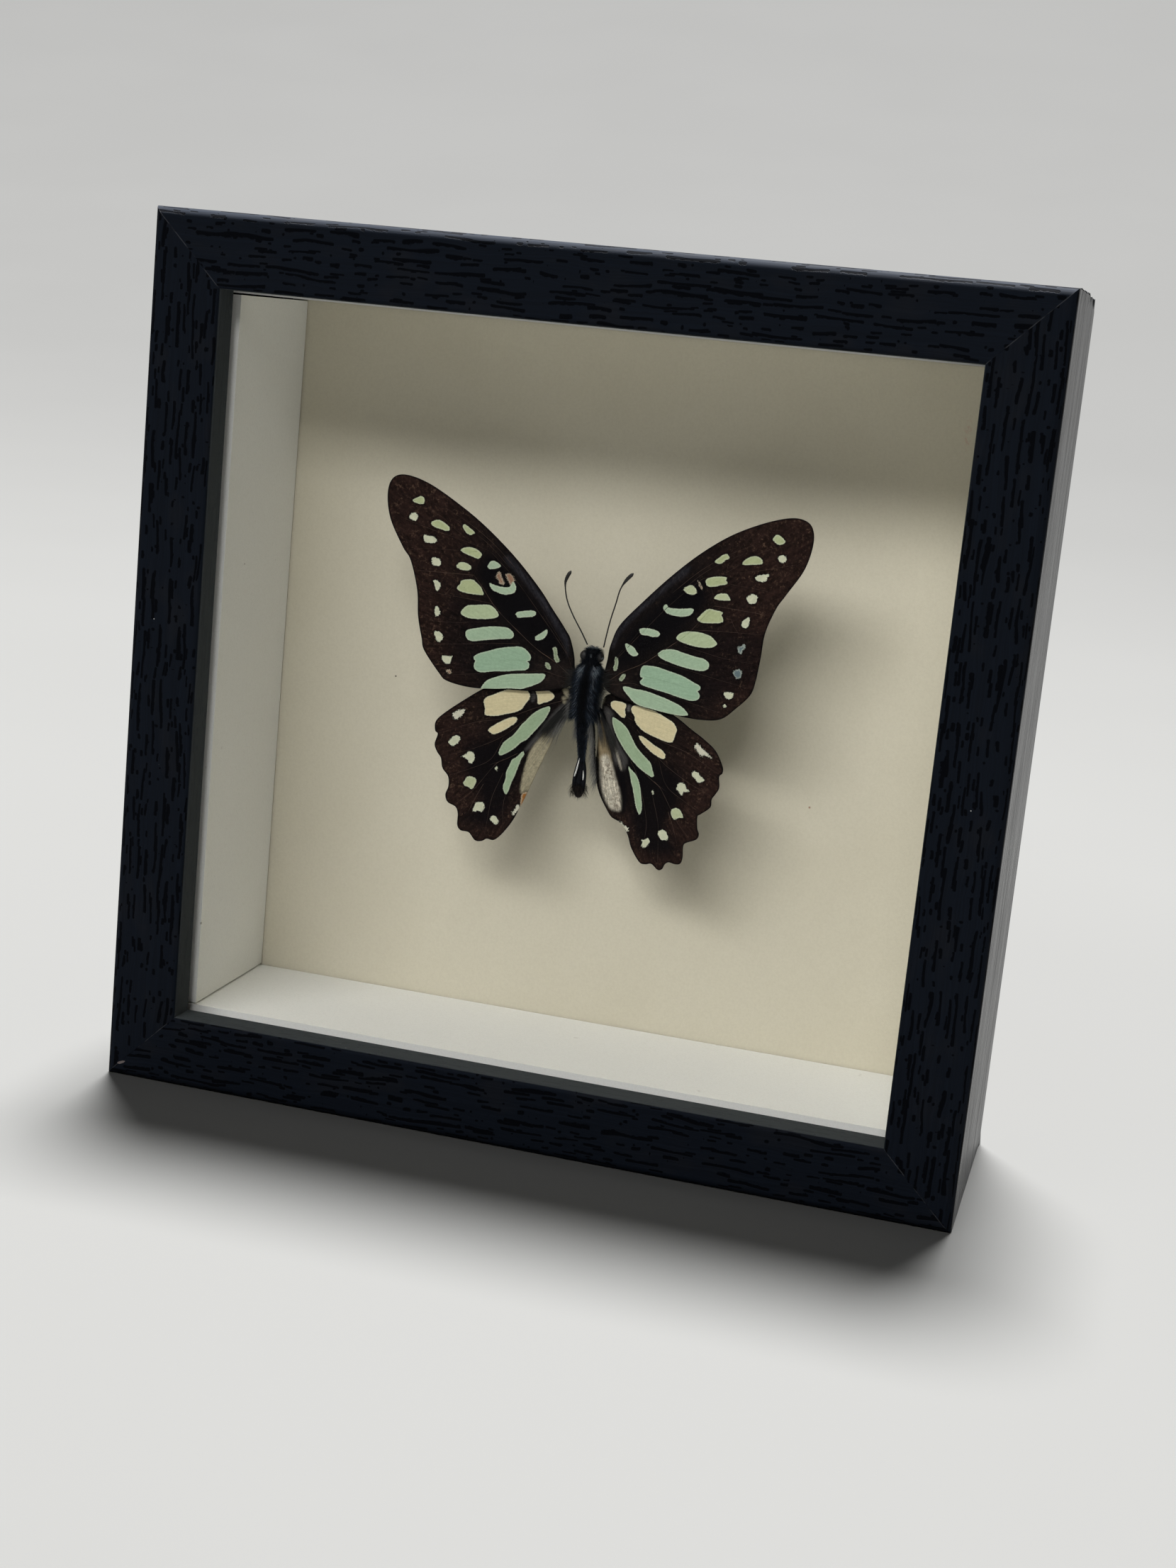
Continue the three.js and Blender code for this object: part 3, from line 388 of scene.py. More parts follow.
# Body: radius, then height, from the tip of the abdomen to the top of the head.
BODY_PROFILE = [
    (0, -17.9), (0.45, -17.7), (0.7, -16.8), (0.66, -15), (0.48, -13), (0.42, -11.2), (0.5, -9.5),
    (0.72, -7.8), (0.98, -6.4), (1.2, -5), (1.38, -3.6), (1.55, -2.6), (1.75, -1.4), (1.92, 0.2),
    (1.96, 2.2), (1.9, 3.9), (1.72, 5.1), (1.5, 5.8), (1.4, 6.2), (1.4, 6.8), (1.4, 7.4),
    (1.2, 8), (0.75, 8.5), (0, 8.7),
]
BODY_SWAY = [(-18, 0), (-13, 0.05), (-10, 0), (-7.5, -0.22), (-4, -0.3), (1, -0.32), (5, -0.1),
             (7, 0.25), (9, 0.4)]  # height, then how far the middle stands off to the right


def paint(red, green, blue):
    """A colour in display values from 0 to 255, as the linear colour that a shader works in."""

    def linear(value):
        value /= 255
        return value / 12.92 if value <= 0.04045 else ((value + 0.055) / 1.055) ** 2.4

    return linear(red), linear(green), linear(blue)


# Tints of the markings: the colour, and how far the edge frays in millimetres.
TINTS = {
    "lime": (paint(176, 185, 141), 0.09),
    "pale": (paint(202, 204, 176), 0.18),
    "sage": (paint(184, 192, 154), 0.12),
    "leaf": (paint(176, 190, 152), 0.08),
    "ice": (paint(166, 186, 158), 0.09),
    "mint": (paint(161, 184, 155), 0.07),
    "aqua": (paint(152, 180, 152), 0.07),
    "fern": (paint(154, 175, 142), 0.08),
    "moss": (paint(128, 142, 112), 0.14),
    "slate": (paint(100, 116, 120), 0.2),
    "cream": (paint(212, 200, 160), 0.1),
    "frost": (paint(206, 202, 182), 0.34),
    "bare": (paint(146, 112, 90), 0.26),
    "rust": (paint(150, 98, 44), 0.16),
    "night": (paint(5, 4, 6), 0),
    "dust": (paint(46, 46, 52), 0),
    "bark": (paint(34, 27, 24), 0),
    "fog": (paint(78, 76, 74), 0),
    "beige": (paint(160, 152, 126), 0),
    "silver": (paint(206, 199, 180), 0),
    "tan": (paint(150, 134, 104), 0),
}

WINGS = {
    "forewing_left": (-1, 0, FOREWING_LEFT, SPOTS_FOREWING_LEFT, AREAS_FOREWING_LEFT,
                      VEINS_FOREWING),
    "forewing_right": (1, 0, FOREWING_RIGHT, SPOTS_FOREWING_RIGHT, AREAS_FOREWING_RIGHT,
                       VEINS_FOREWING),
    "hindwing_left": (-1, 1, HINDWING_LEFT, SPOTS_HINDWING_LEFT, AREAS_HINDWING_LEFT,
                      VEINS_HINDWING),
    "hindwing_right": (1, 1, HINDWING_RIGHT, SPOTS_HINDWING_RIGHT, AREAS_HINDWING_RIGHT,
                       VEINS_HINDWING),
}


# ------------------------------------------------------------------ settings


def length(name, description, millimetres):
    return FloatProperty(
        name=name, description=description, default=millimetres * MM, min=0, precision=5,
        unit="LENGTH", subtype="DISTANCE",
    )


def colour(name, description, default):
    return FloatVectorProperty(
        name=name, description=description, default=default, min=0, max=1, size=3, subtype="COLOR",
    )


def number_of(name, description, default):
    return IntProperty(name=name, description=description, default=default)


class FrameSettings(bpy.types.PropertyGroup):
    """Sizes and colours of the four rails."""

    rail_face: length("Rail face", "Width of a rail, seen from the front", 12.5)
    lip_depth: length("Lip depth", "Thickness of the lip in front of the glass", 5.5)
    lip_reach: length("Lip reach", "How far the lip covers the glass", 3)
    outer_edge: length("Outer edge", "Radius on the outer front edge", 1.6)
    inner_edge: length("Inner edge", "Radius on the lip's front edge", 0.8)
    back_edge: length("Back edge", "Radius on the back edges", 0.3)
    joint: length("Joint", "Half of the hairline gap in a mitre", 0.02)
    foil: colour("Foil", "Colour of the foil between the pores", paint(16, 21, 29))
    pore: colour("Pore", "Colour in the pores of the grain", paint(2, 3, 6))
    # Lip: a lighter grey painted on the walls of the opening, a painted reflection of the light
    # that grazes them; the walls are not worn.
    lip: colour("Lip", "Colour of the worn walls of the opening", paint(64, 68, 69))
    core: colour("Core", "Colour of the board under a chip in the foil", paint(104, 96, 94))


class GlazingSettings(bpy.types.PropertyGroup):
    """Finish of the glass and of what lines the frame."""

    card: colour("Backing card", "Colour of the card behind the specimen", paint(213, 207, 187))
    spacer: colour("Spacer", "Colour of the strips between glass and card", paint(238, 238, 233))
    glass_index: FloatProperty(
        name="Glass index", description="How strongly the coated glass reflects", default=1.06,
        min=1, max=2,
    )


class BackSettings(bpy.types.PropertyGroup):
    """Finish of the back of the frame."""

    board: colour("Board", "Colour of the hardboard back", paint(104, 72, 47))
    steel: colour("Steel", "Colour of the tabs and nails", paint(176, 178, 182))
    zinc: colour("Zinc", "Colour of the hanger's coating", paint(168, 170, 172))


class WingSettings(bpy.types.PropertyGroup):
    """Shape and ground colours of the wings."""

    cell: length("Mesh size", "Size of a face of the wing mesh", 0.2)
    sheet: length("Thickness", "Thickness of a wing", 0.12)
    surface: length("Depth", "How far the wing roots lie behind the frame's front", 24)
    root: length("Root", "Distance of the wing roots from the middle of the body", 2)
    hind_drop: length("Hindwing drop", "How far the hindwings lie behind the forewings", 0.7)
    slope: FloatProperty(name="Slope", description="Rise of a wing towards its tip", default=0.2)
    brown: colour("Brown", "Ground colour near the outer margin", paint(33, 21, 17))
    dark: colour("Dark", "Ground colour near the body", paint(15, 11, 10))
    vein: colour("Vein", "Colour of the veins", paint(84, 68, 58))
    bared: colour("Bared", "Colour where scales have rubbed off", paint(104, 82, 66))


class BodySettings(bpy.types.PropertyGroup):
    """Shape, hair and colours of the body and the antennae."""

    middle: length("Depth", "How far the middle of the body lies behind the front", 23.8)
    stalk: length("Antenna stalk", "Radius of an antenna's stalk", 0.12)
    club: length("Antenna club", "Radius of an antenna's club", 0.31)
    hair_radius: length("Hair", "Radius of a hair at its root", 0.03)
    thorax_hairs: number_of("Thorax hairs", "Hairs on the thorax", 6400)
    abdomen_hairs: number_of("Abdomen hairs", "Hairs on the abdomen", 2400)
    long_hairs: number_of("Long hairs", "Long hairs beside the body", 4200)
    skin: colour("Skin", "Colour of the body under its hair", paint(9, 10, 13))
    eye: colour("Eye", "Colour of the eyes", paint(26, 20, 17))
    hair_dark: colour("Dark hair", "Colour of a hair at its root", paint(8, 9, 12))
    hair_light: colour("Pale hair", "Colour of the palest hairs", paint(176, 182, 188))


class StageSettings(bpy.types.PropertyGroup):
    """Floor, light and camera."""

    floor: colour("Floor", "Colour of the floor and the backdrop", paint(72, 72, 71))
    camera_place: FloatVectorProperty(
        name="Camera", description="Where the camera stands", size=3, subtype="TRANSLATION",
        default=(0.09619, -0.37238, 0.13806),
    )
    camera_aim: FloatVectorProperty(
        name="Aim", description="The point in the middle of the picture", size=3,
        subtype="TRANSLATION", default=(0.00763, -0.0235, 0.06476),
    )
    camera_roll: FloatProperty(
        name="Roll", description="Tilt of the camera to its left", default=math.radians(5.63),
        subtype="ANGLE", unit="ROTATION",
    )
    lens: FloatProperty(name="Lens", description="Focal length in millimetres", default=51.83)
    sky: FloatProperty(name="Sky", description="Strength of the light from all round", default=0.03)
    key: FloatProperty(
        name="Key", description="Power of the light in front", default=66, unit="POWER"
    )
    top: FloatProperty(name="Top", description="Strength of the light overhead", default=32)


class SpecimenSettings(bpy.types.PropertyGroup):
    """All settings of the framed specimen."""

    rails: PointerProperty(type=FrameSettings)
    glazing: PointerProperty(type=GlazingSettings)
    back: PointerProperty(type=BackSettings)
    wings: PointerProperty(type=WingSettings)
    body: PointerProperty(type=BodySettings)
    stage: PointerProperty(type=StageSettings)


# ------------------------------------------------------------------ finishes


class Finish:
    """A material built node by node. A value is a number, a colour or the output of a node."""

    def __init__(self, name):
        self.material = bpy.data.materials.new(name)
        self.material.use_nodes = True
        self.tree = self.material.node_tree
        self.tree.nodes.clear()
        self.output = self.tree.nodes.new("ShaderNodeOutputMaterial")

    def feed(self, socket, value):
        if isinstance(value, bpy.types.NodeSocket):
            self.tree.links.new(value, socket)
        elif socket.type == "RGBA" and len(value) == 3:
            socket.default_value = (*value, 1)
        else:
            socket.default_value = value

    def add(self, kind, inputs, out=0, **settings):
        node = self.tree.nodes.new("ShaderNode" + kind)
        for name, value in settings.items():
            setattr(node, name, value)
        for socket, value in inputs.items():
            self.feed(node.inputs[socket], value)
        return node.outputs[out]

    def maths(self, operation, *values):
        return self.add("Math", dict(enumerate(values)), operation=operation)

    def plus(self, first, second):
        return self.maths("ADD", first, second)

    def minus(self, first, second):
        return self.maths("SUBTRACT", first, second)

    def times(self, first, second):
        return self.maths("MULTIPLY", first, second)

    def over(self, first, second):
        return self.maths("DIVIDE", first, second)

    def scaled(self, value, factor, shift):
        """A value times a factor, plus a shift."""
        return self.maths("MULTIPLY_ADD", value, factor, shift)

    def size(self, value):
        return self.maths("ABSOLUTE", value)

    def larger(self, first, second):
        return self.maths("MAXIMUM", first, second)

    def squares(self, first, second):
        """The sum of two squares."""
        return self.plus(self.maths("POWER", first, 2.0), self.maths("POWER", second, 2.0))

    def mix(self, share, first, second, kind="MIX"):
        inputs = {0: share, 6: first, 7: second}
        return self.add("Mix", inputs, 2, data_type="RGBA", blend_type=kind)

    def dim(self, tone, share):
        """A colour times a number."""
        grey = self.add("CombineXYZ", {0: share, 1: share, 2: share})
        return self.mix(1.0, tone, grey, "MULTIPLY")

    def step(self, value, low, high, start=0.0, end=1.0):
        inputs = {0: value, 1: low, 2: high, 3: start, 4: end}
        return self.add("MapRange", inputs, interpolation_type="SMOOTHSTEP")

    def place(self, scale=1):
        """The piece's own coordinates in millimetres, times one number or one for each axis."""
        where = self.add("TexCoord", {}, 3)
        scale = [float(value) / MM for value in np.broadcast_to(scale, 3)]
        return self.add("Mapping", {"Vector": where, "Scale": scale})

    def chart(self, name, scale=(1, 1, 1)):
        """A UV map's coordinates, scaled."""
        where = self.add("UVMap", {}, uv_map=name)
        return self.add("Mapping", {"Vector": where, "Scale": scale})

    def noise(self, where, detail=2.0, roughness=0.5):
        inputs = {"Vector": where, "Scale": 1.0, "Detail": detail, "Roughness": roughness}
        return self.add("TexNoise", inputs)

    def grain(self, scale, **settings):
        """Noise that is fixed to the piece, at a scale as place has it."""
        return self.noise(self.place(scale), **settings)

    def cells(self, scale):
        return self.add("TexVoronoi", {"Vector": self.place(), "Scale": scale})

    def chances(self, first, second, seed):
        """Three random numbers from 0 to 1 for each pair of whole numbers."""
        where = self.add("CombineXYZ", {0: first, 1: second, 2: seed})
        return self.axes(self.add("TexWhiteNoise", {"Vector": where}, 1))

    def attribute(self, name, out=2):
        return self.add("Attribute", {}, out, attribute_name=name)

    def axes(self, vector):
        node = self.tree.nodes.new("ShaderNodeSeparateXYZ")
        self.feed(node.inputs[0], vector)
        return node.outputs[0], node.outputs[1], node.outputs[2]

    def bump(self, height, distance, strength=1.0):
        inputs = {"Height": height, "Distance": distance * MM, "Strength": strength}
        return self.add("Bump", inputs)

    def cover(self, **inputs):
        """Finishes the material with one surface, whose sockets are named with underscores."""
        named = {name.replace("_", " "): value for name, value in inputs.items()}
        self.feed(self.output.inputs["Surface"], self.add("BsdfPrincipled", named))
        return self.material


# A chip in the foil: its middle, half its size and its slope.
Chip = namedtuple("Chip", "x y half_width half_height slope")
CHIP = Chip(-72.1, -72.4, 0.75, 0.26, 0.4)


def foil_finish(settings):
    """Dark woodgrain foil: long pores pressed into it, fine lines, dust, a chipped mitre, and a
    painted reflection on the walls of the opening.
    """
    finish = Finish("woodgrain_foil")
    weave = finish.noise(finish.chart("grain", (0.07, 0.25, 1)), detail=2)
    lumps = finish.noise(finish.chart("grain", (0.9, 1.1, 1)), detail=2.5, roughness=0.6)
    along, across, _ = finish.axes(finish.chart("grain"))
    across = finish.plus(across, finish.scaled(weave, 2.4, -1.2))
    across = finish.plus(across, finish.scaled(lumps, 0.36, -0.18))

    def stretched(length_mm, width_mm, offset):
        inputs = {
            0: finish.over(along, length_mm),
            1: finish.over(across, width_mm),
            2: offset,
        }
        return finish.add("CombineXYZ", inputs)

    def pores_in(length_mm, width_mm, seed, longest, radius):
        """Rows of blunt dashes: one in each cell of its row, with its own length and place."""
        row = finish.plus(finish.over(across, width_mm), seed)
        lane = finish.maths("FLOOR", row)
        start, _, _ = finish.chances(lane, 0.5, seed)
        cell = finish.plus(finish.over(along, length_mm), start)
        number = finish.maths("FLOOR", cell)
        size, place, side = finish.chances(lane, number, seed)
        half = finish.scaled(finish.maths("POWER", size, 1.7), longest / 2, -0.45)
        room = finish.minus(length_mm / 2, half)
        middle = finish.times(finish.scaled(place, 1.6, -0.8), room)
        gone = finish.minus(finish.maths("FRACT", cell), 0.5)
        gone = finish.minus(finish.times(gone, length_mm), middle)
        gone = finish.minus(finish.size(gone), half)
        gone = finish.larger(gone, 0.0)
        aside = finish.scaled(side, -0.5, finish.maths("FRACT", row))
        aside = finish.times(finish.minus(aside, 0.25), width_mm)
        reach = finish.squares(gone, aside)
        edge = finish.scaled(lumps, 0.3, radius - 0.15)
        return finish.step(finish.minus(finish.maths("SQRT", reach), edge), 0.07, -0.07)

    pores = finish.larger(pores_in(9, 1.5, 3, 9.5, 0.25), pores_in(7, 1.6, 7, 6.5, 0.24))
    pores = finish.larger(pores, pores_in(4, 1.3, 11, 3, 0.2))
    lines = finish.noise(stretched(30, 0.22, 9.4), detail=3, roughness=0.6)
    mottle = finish.noise(stretched(9, 5, 2.2), detail=2)
    warm = finish.mix(0.3, settings.foil, paint(30, 30, 32))
    tone = finish.mix(finish.step(mottle, 0.5, 0.72), settings.foil, warm)
    tone = finish.mix(finish.step(lines, 0.3, 0.75, 0.35, 0), tone, settings.pore)
    tone = finish.mix(finish.times(pores, 0.94), tone, settings.pore)

    # The hairline of a mitre, and a chip beside the bottom left one.
    x, y, z = finish.axes(finish.place())
    z = finish.minus(z, HALF)
    seam = finish.size(finish.minus(finish.size(x), finish.size(z)))
    broken = finish.grain(0.35, detail=3)
    hairline = finish.times(finish.step(seam, 0.16, 0.05), finish.step(broken, 0.42, 0.6))
    tone = finish.mix(finish.times(hairline, 0.16), tone, paint(120, 122, 126))
    # The walls of the opening are painted a lighter grey: a painted reflection of the light that
    # grazes them, not wear.
    widest = finish.larger(finish.size(x), finish.size(z))
    inside = HALF - settings.rail_face / MM
    inner = finish.step(widest, inside + 0.2, inside + 0.05, 0, 0.9)
    tone = finish.mix(inner, tone, settings.lip)
    chip_x = finish.over(finish.plus(x, -CHIP.x), CHIP.half_width)
    slant = finish.scaled(finish.plus(x, -CHIP.x), -CHIP.slope, z)
    chip_z = finish.over(finish.plus(slant, -CHIP.y), CHIP.half_height)
    reach = finish.squares(chip_x, chip_z)
    ragged = finish.grain(1.6, detail=3)
    reach = finish.scaled(ragged, 1.5, reach)
    chip = finish.times(finish.step(reach, 1.75, 1.5), finish.step(y, -19, -21))
    tone = finish.mix(chip, tone, settings.core)
    dust = finish.step(finish.cells(0.11), 0.012, 0.006)
    tone = finish.mix(dust, tone, paint(190, 192, 190))

    height = finish.scaled(pores, -1.0, finish.times(lines, 0.3))
    height = finish.scaled(chip, -2.0, height)
    rough = finish.scaled(pores, 0.12, finish.step(lines, 0.2, 0.8, 0.68, 0.84))
    # The outer sides are pressed smoother than the face, so they shine when seen edge on.
    shine = finish.step(finish.size(x), HALF - 0.16, HALF - 0.02)
    strokes = finish.grain((0.03, 3.4, 0.035), detail=4, roughness=0.7)
    shine = finish.times(shine, finish.step(strokes, 0.34, 0.64, 0.12, 0.8))
    relief = finish.bump(height, 0.07, 0.8)
    return finish.cover(
        Base_Color=tone, Roughness=rough, Normal=relief, Specular_IOR_Level=0.05,
        Coat_Weight=shine, Coat_Roughness=0.22,
    )


def glass_finish(settings):
    """Coated glass: clear from the front, with a reflection that grows as it is seen edge on."""
    finish = Finish("coated_glass")
    share = finish.add("Fresnel", {"IOR": settings.glass_index})
    clear = finish.add("BsdfTransparent", {"Color": (1, 1, 1)})
    smear = finish.grain(0.05, detail=3)
    gloss = finish.add(
        "BsdfGlossy", {"Color": (1, 1, 1), "Roughness": finish.step(smear, 0.3, 0.7, 0.02, 0.06)}
    )
    shell = finish.add("MixShader", {0: share, 1: clear, 2: gloss})
    finish.feed(finish.output.inputs["Surface"], shell)
    return finish.material


def card_finish(settings):
    """Warm backing card: fine fibres, a little mottle, two specks and a rubbed smudge."""
    finish = Finish("backing_card_paper")
    fibre = finish.grain(2.6, detail=4, roughness=0.7)
    tooth = finish.grain(9, detail=3)
    cloud = finish.grain(0.045, detail=3)
    tone = finish.mix(finish.step(fibre, 0.35, 0.7, 0, 0.1), settings.card, paint(150, 140, 116))
    tone = finish.mix(finish.step(cloud, 0.35, 0.7, 0, 0.12), tone, paint(190, 182, 158))
    x, _, z = finish.axes(finish.place())
    for speck_x, speck_z, radius, ink in SPECKS:
        gap_x = finish.minus(x, speck_x)
        gap_z = finish.minus(z, speck_z)
        reach = finish.maths("SQRT", finish.squares(gap_x, gap_z))
        reach = finish.scaled(fibre, radius, reach)
        mark = finish.step(reach, radius * 1.9, radius * 0.9, 0, 0.9)
        tone = finish.mix(mark, tone, ink)
    off_x = finish.over(finish.minus(x, SMUDGE[0]), SMUDGE[2])
    off_z = finish.over(finish.minus(z, SMUDGE[1]), SMUDGE[3])
    off = finish.squares(off_x, off_z)
    scratches = finish.grain((1.4, 1.4, 0.9), detail=4, roughness=0.7)
    rubbed = finish.times(finish.step(off, 1.0, 0.2), finish.step(scratches, 0.48, 0.62))
    tone = finish.mix(finish.times(rubbed, 0.4), tone, paint(196, 146, 130))
    height = finish.scaled(fibre, 0.6, tooth)
    return finish.cover(
        Base_Color=tone, Roughness=0.92, Normal=finish.bump(height, 0.03, 0.7),
        Specular_IOR_Level=0.25,
    )


# Specks and smudges on the card: x, height above the floor, radius, colour.
SPECKS = [
    (-40.0, 71.5, 0.16, paint(70, 60, 46)),
    (38.5, 58.6, 0.2, paint(150, 110, 84)),
]
SMUDGE = (57.8, 126.0, 1.2, 3.4)  # x, height above the floor, half its width and half its height


def spacer_finish(settings):
    """White board strips: faint fibre, the odd scuff."""
    finish = Finish("white_spacer_board")
    fibre = finish.grain(3, detail=4, roughness=0.7)
    scuff = finish.grain(0.5, detail=4, roughness=0.6)
    tone = finish.mix(finish.step(fibre, 0.4, 0.75, 0, 0.12), settings.spacer, paint(170, 168, 160))
    tone = finish.mix(finish.step(scuff, 0.7, 0.78, 0, 0.25), tone, paint(150, 140, 126))
    spot = finish.step(finish.cells(0.07), 0.02, 0.012, 0, 0.6)
    tone = finish.mix(spot, tone, paint(120, 112, 100))
    return finish.cover(
        Base_Color=tone, Roughness=0.78, Normal=finish.bump(fibre, 0.03, 0.6),
        Specular_IOR_Level=0.35,
    )


def board_finish(settings):
    """Hardboard: brown fibre with darker flecks and a pressed, slightly shiny skin."""
    finish = Finish("pressed_hardboard")
    fibre = finish.grain(1.1, detail=6, roughness=0.7)
    fleck = finish.grain((0.5, 0.5, 1.6), detail=4, roughness=0.6)
    shade = finish.grain(0.03, detail=2)
    tone = finish.mix(finish.step(fibre, 0.3, 0.7), settings.board, paint(126, 92, 62))
    tone = finish.mix(finish.step(fleck, 0.6, 0.7, 0, 0.55), tone, paint(74, 48, 30))
    tone = finish.mix(finish.step(shade, 0.3, 0.7, 0, 0.25), tone, paint(96, 66, 44))
    rough = finish.step(fibre, 0.3, 0.7, 0.55, 0.8)
    return finish.cover(Base_Color=tone, Roughness=rough, Normal=finish.bump(fibre, 0.05, 0.6))


def metal_finish(name, tone, streak, grime):
    """Sheet metal with fine scratches along x, or a mottled coating, and dull patches."""
    finish = Finish(name)
    scratch = finish.grain(streak, detail=3, roughness=0.7)
    patch = finish.grain(0.4, detail=3)
    dulled = finish.mix(finish.step(patch, 0.5, 0.75, 0, 0.5), tone, grime)
    dulled = finish.mix(finish.step(scratch, 0.45, 0.7, 0, 0.2), dulled, paint(230, 230, 230))
    rough = finish.step(scratch, 0.3, 0.7, 0.28, 0.46)
    return finish.cover(
        Base_Color=dulled, Metallic=1.0, Roughness=rough, Normal=finish.bump(scratch, 0.01, 0.5)
    )


def wing_finish(settings):
    """Wing scales: marking tints with scale-rough edges over a worn brown ground, and veins."""
    finish = Finish("wing_scales")
    scale_rows = finish.grain(5, detail=3, roughness=0.65)
    grain = finish.grain(1.9, detail=5, roughness=0.75)
    patches = finish.grain(0.55, detail=4, roughness=0.65)
    rays = finish.attribute("rays", 1)
    rays = finish.add("Mapping", {"Vector": rays, "Scale": (0.3, 55, 1)})
    rays = finish.noise(rays, detail=3, roughness=0.6)

    ground = finish.attribute("ground", 0)
    wear = finish.attribute("wear")
    spot = finish.attribute("spot")
    tint = finish.attribute("tint", 0)
    fray = finish.attribute("fray")
    rim = finish.attribute("rim")
    vein = finish.attribute("vein")

    shade = finish.plus(finish.step(grain, 0.3, 0.7, -0.42, 0.42),
                         finish.step(rays, 0.3, 0.75, -0.36, 0.7))
    shade = finish.scaled(shade, finish.step(wear, 0, 0.25, 0.12, 1), 1.0)
    ground = finish.dim(ground, shade)
    rubbed = finish.times(finish.step(grain, 0.52, 0.7), finish.step(patches, 0.36, 0.64))
    rubbed = finish.times(rubbed, wear)
    rubbed = finish.times(rubbed, 0.75)
    ground = finish.mix(rubbed, ground, settings.bared)
    halo = finish.step(spot, 0.5, 0.1, 0, 0.55)
    ground = finish.mix(halo, ground, TINTS["night"][0])
    ground = finish.mix(finish.step(rim, 0.42, 0.1, 0, 0.7), ground, TINTS["night"][0])
    sheen_in_folds = finish.attribute("fold")
    silk = finish.times(finish.step(rays, 0.35, 0.7, 0.78, 1.2),
                        finish.step(grain, 0.36, 0.6, 0.7, 1.1))
    silk = finish.times(silk, finish.step(scale_rows, 0.36, 0.62, 0.84, 1.1))
    silk = finish.dim(ground, silk)
    ground = finish.mix(sheen_in_folds, ground, silk)
    worn_through = finish.times(finish.step(sheen_in_folds, 0.6, 0.85),
                                finish.step(grain, 0.56, 0.4))
    worn_through = finish.times(worn_through, finish.step(patches, 0.58, 0.4, 0.08, 0.6))
    ground = finish.mix(worn_through, ground, paint(92, 74, 58))

    ragged = finish.times(finish.minus(scale_rows, 0.5), 4.2)
    edge = finish.scaled(ragged, fray, spot)
    inside = finish.step(edge, 0.05, -0.05)
    fleck = finish.step(finish.cells(0.62), 0.05, 0.03, 0, 0.5)
    marking = finish.mix(fleck, tint, paint(70, 66, 52))
    bright = finish.plus(finish.step(grain, 0.25, 0.8, 0.88, 1.08),
                          finish.step(rays, 0.3, 0.7, -0.06, 0.05))
    marking = finish.dim(marking, bright)
    marking = finish.mix(finish.step(edge, -0.3, -0.06, 0, 0.35), marking, paint(216, 220, 196))
    tone = finish.mix(inside, ground, marking)
    tone = finish.mix(finish.times(vein, finish.step(patches, 0.3, 0.62, 0.2, 0.85)),
                      tone, settings.vein)
    height = finish.scaled(scale_rows, 0.5, grain)
    return finish.cover(
        Base_Color=tone, Roughness=0.78, Normal=finish.bump(height, 0.05, 0.8),
        Specular_IOR_Level=0.06,
    )


def skin_finish(settings):
    """The body's skin, under its hair."""
    finish = Finish("body_skin")
    grain = finish.grain(5, detail=3)
    tone = finish.mix(finish.step(grain, 0.35, 0.7), settings.skin, paint(22, 23, 27))
    return finish.cover(
        Base_Color=tone, Roughness=0.8, Normal=finish.bump(grain, 0.08), Specular_IOR_Level=0.06
    )


def eye_finish(settings):
    """The faceted eyes."""
    finish = Finish("eye_facets")
    facet = finish.cells(14)
    cloud = finish.grain(1.2, detail=2)
    tone = finish.mix(finish.step(cloud, 0.3, 0.7), settings.eye, paint(12, 10, 10))
    return finish.cover(
        Base_Color=tone, Roughness=0.5, Normal=finish.bump(facet, 0.02, 0.6)
    )


def scale_finish():
    """Pale scales on the claspers."""
    finish = Finish("pale_scales")
    grain = finish.grain((6, 2, 6), detail=3)
    tone = finish.mix(finish.step(grain, 0.35, 0.7), paint(226, 226, 220), paint(150, 150, 148))
    return finish.cover(Base_Color=tone, Roughness=0.6, Normal=finish.bump(grain, 0.04))


def hair_finish(name, settings):
    """Hairs from dark roots to the tone that each hair carries."""
    finish = Finish(name)
    tone = finish.attribute("tone", 0)
    along = finish.attribute("along")
    fine = finish.grain(4, detail=2)
    shade = finish.mix(finish.step(along, 0.0, 0.6), settings.hair_dark, tone)
    shade = finish.mix(finish.step(fine, 0.4, 0.8, 0, 0.35), shade, settings.hair_dark)
    return finish.cover(
        Base_Color=shade, Roughness=0.55, Specular_IOR_Level=0.08,
    )


def antenna_finish():
    """The dark horn of the antennae."""
    finish = Finish("antenna_horn")
    ring = finish.grain((1.5, 8, 8), detail=2)
    tone = finish.mix(finish.step(ring, 0.35, 0.65), paint(8, 8, 7), paint(24, 20, 17))
    return finish.cover(Base_Color=tone, Roughness=0.5, Normal=finish.bump(ring, 0.03))


def floor_finish(settings):
    """The paper of the floor and the backdrop, with painted shade in front of the frame and far
    behind.
    """
    finish = Finish("studio_paper")
    cloud = finish.grain(0.004, detail=2)
    tone = finish.mix(finish.step(cloud, 0.3, 0.7, 0, 0.3), settings.floor, paint(75, 75, 74))
    _, y, _ = finish.axes(finish.place())
    # Painted shade: the floor is darker in front of the frame, out of view, so it bounces less
    # light onto the card, and the backdrop is darker far behind, so the picture darkens towards its
    # top.
    shade = finish.plus(finish.step(y, -150, -450, 0, 0.6), finish.step(y, 250, 1500, 0, 0.24))
    tone = finish.mix(shade, tone, paint(4, 4, 4))
    return finish.cover(Base_Color=tone, Roughness=0.9, Specular_IOR_Level=0.1)


# ------------------------------------------------------------------ lines and areas


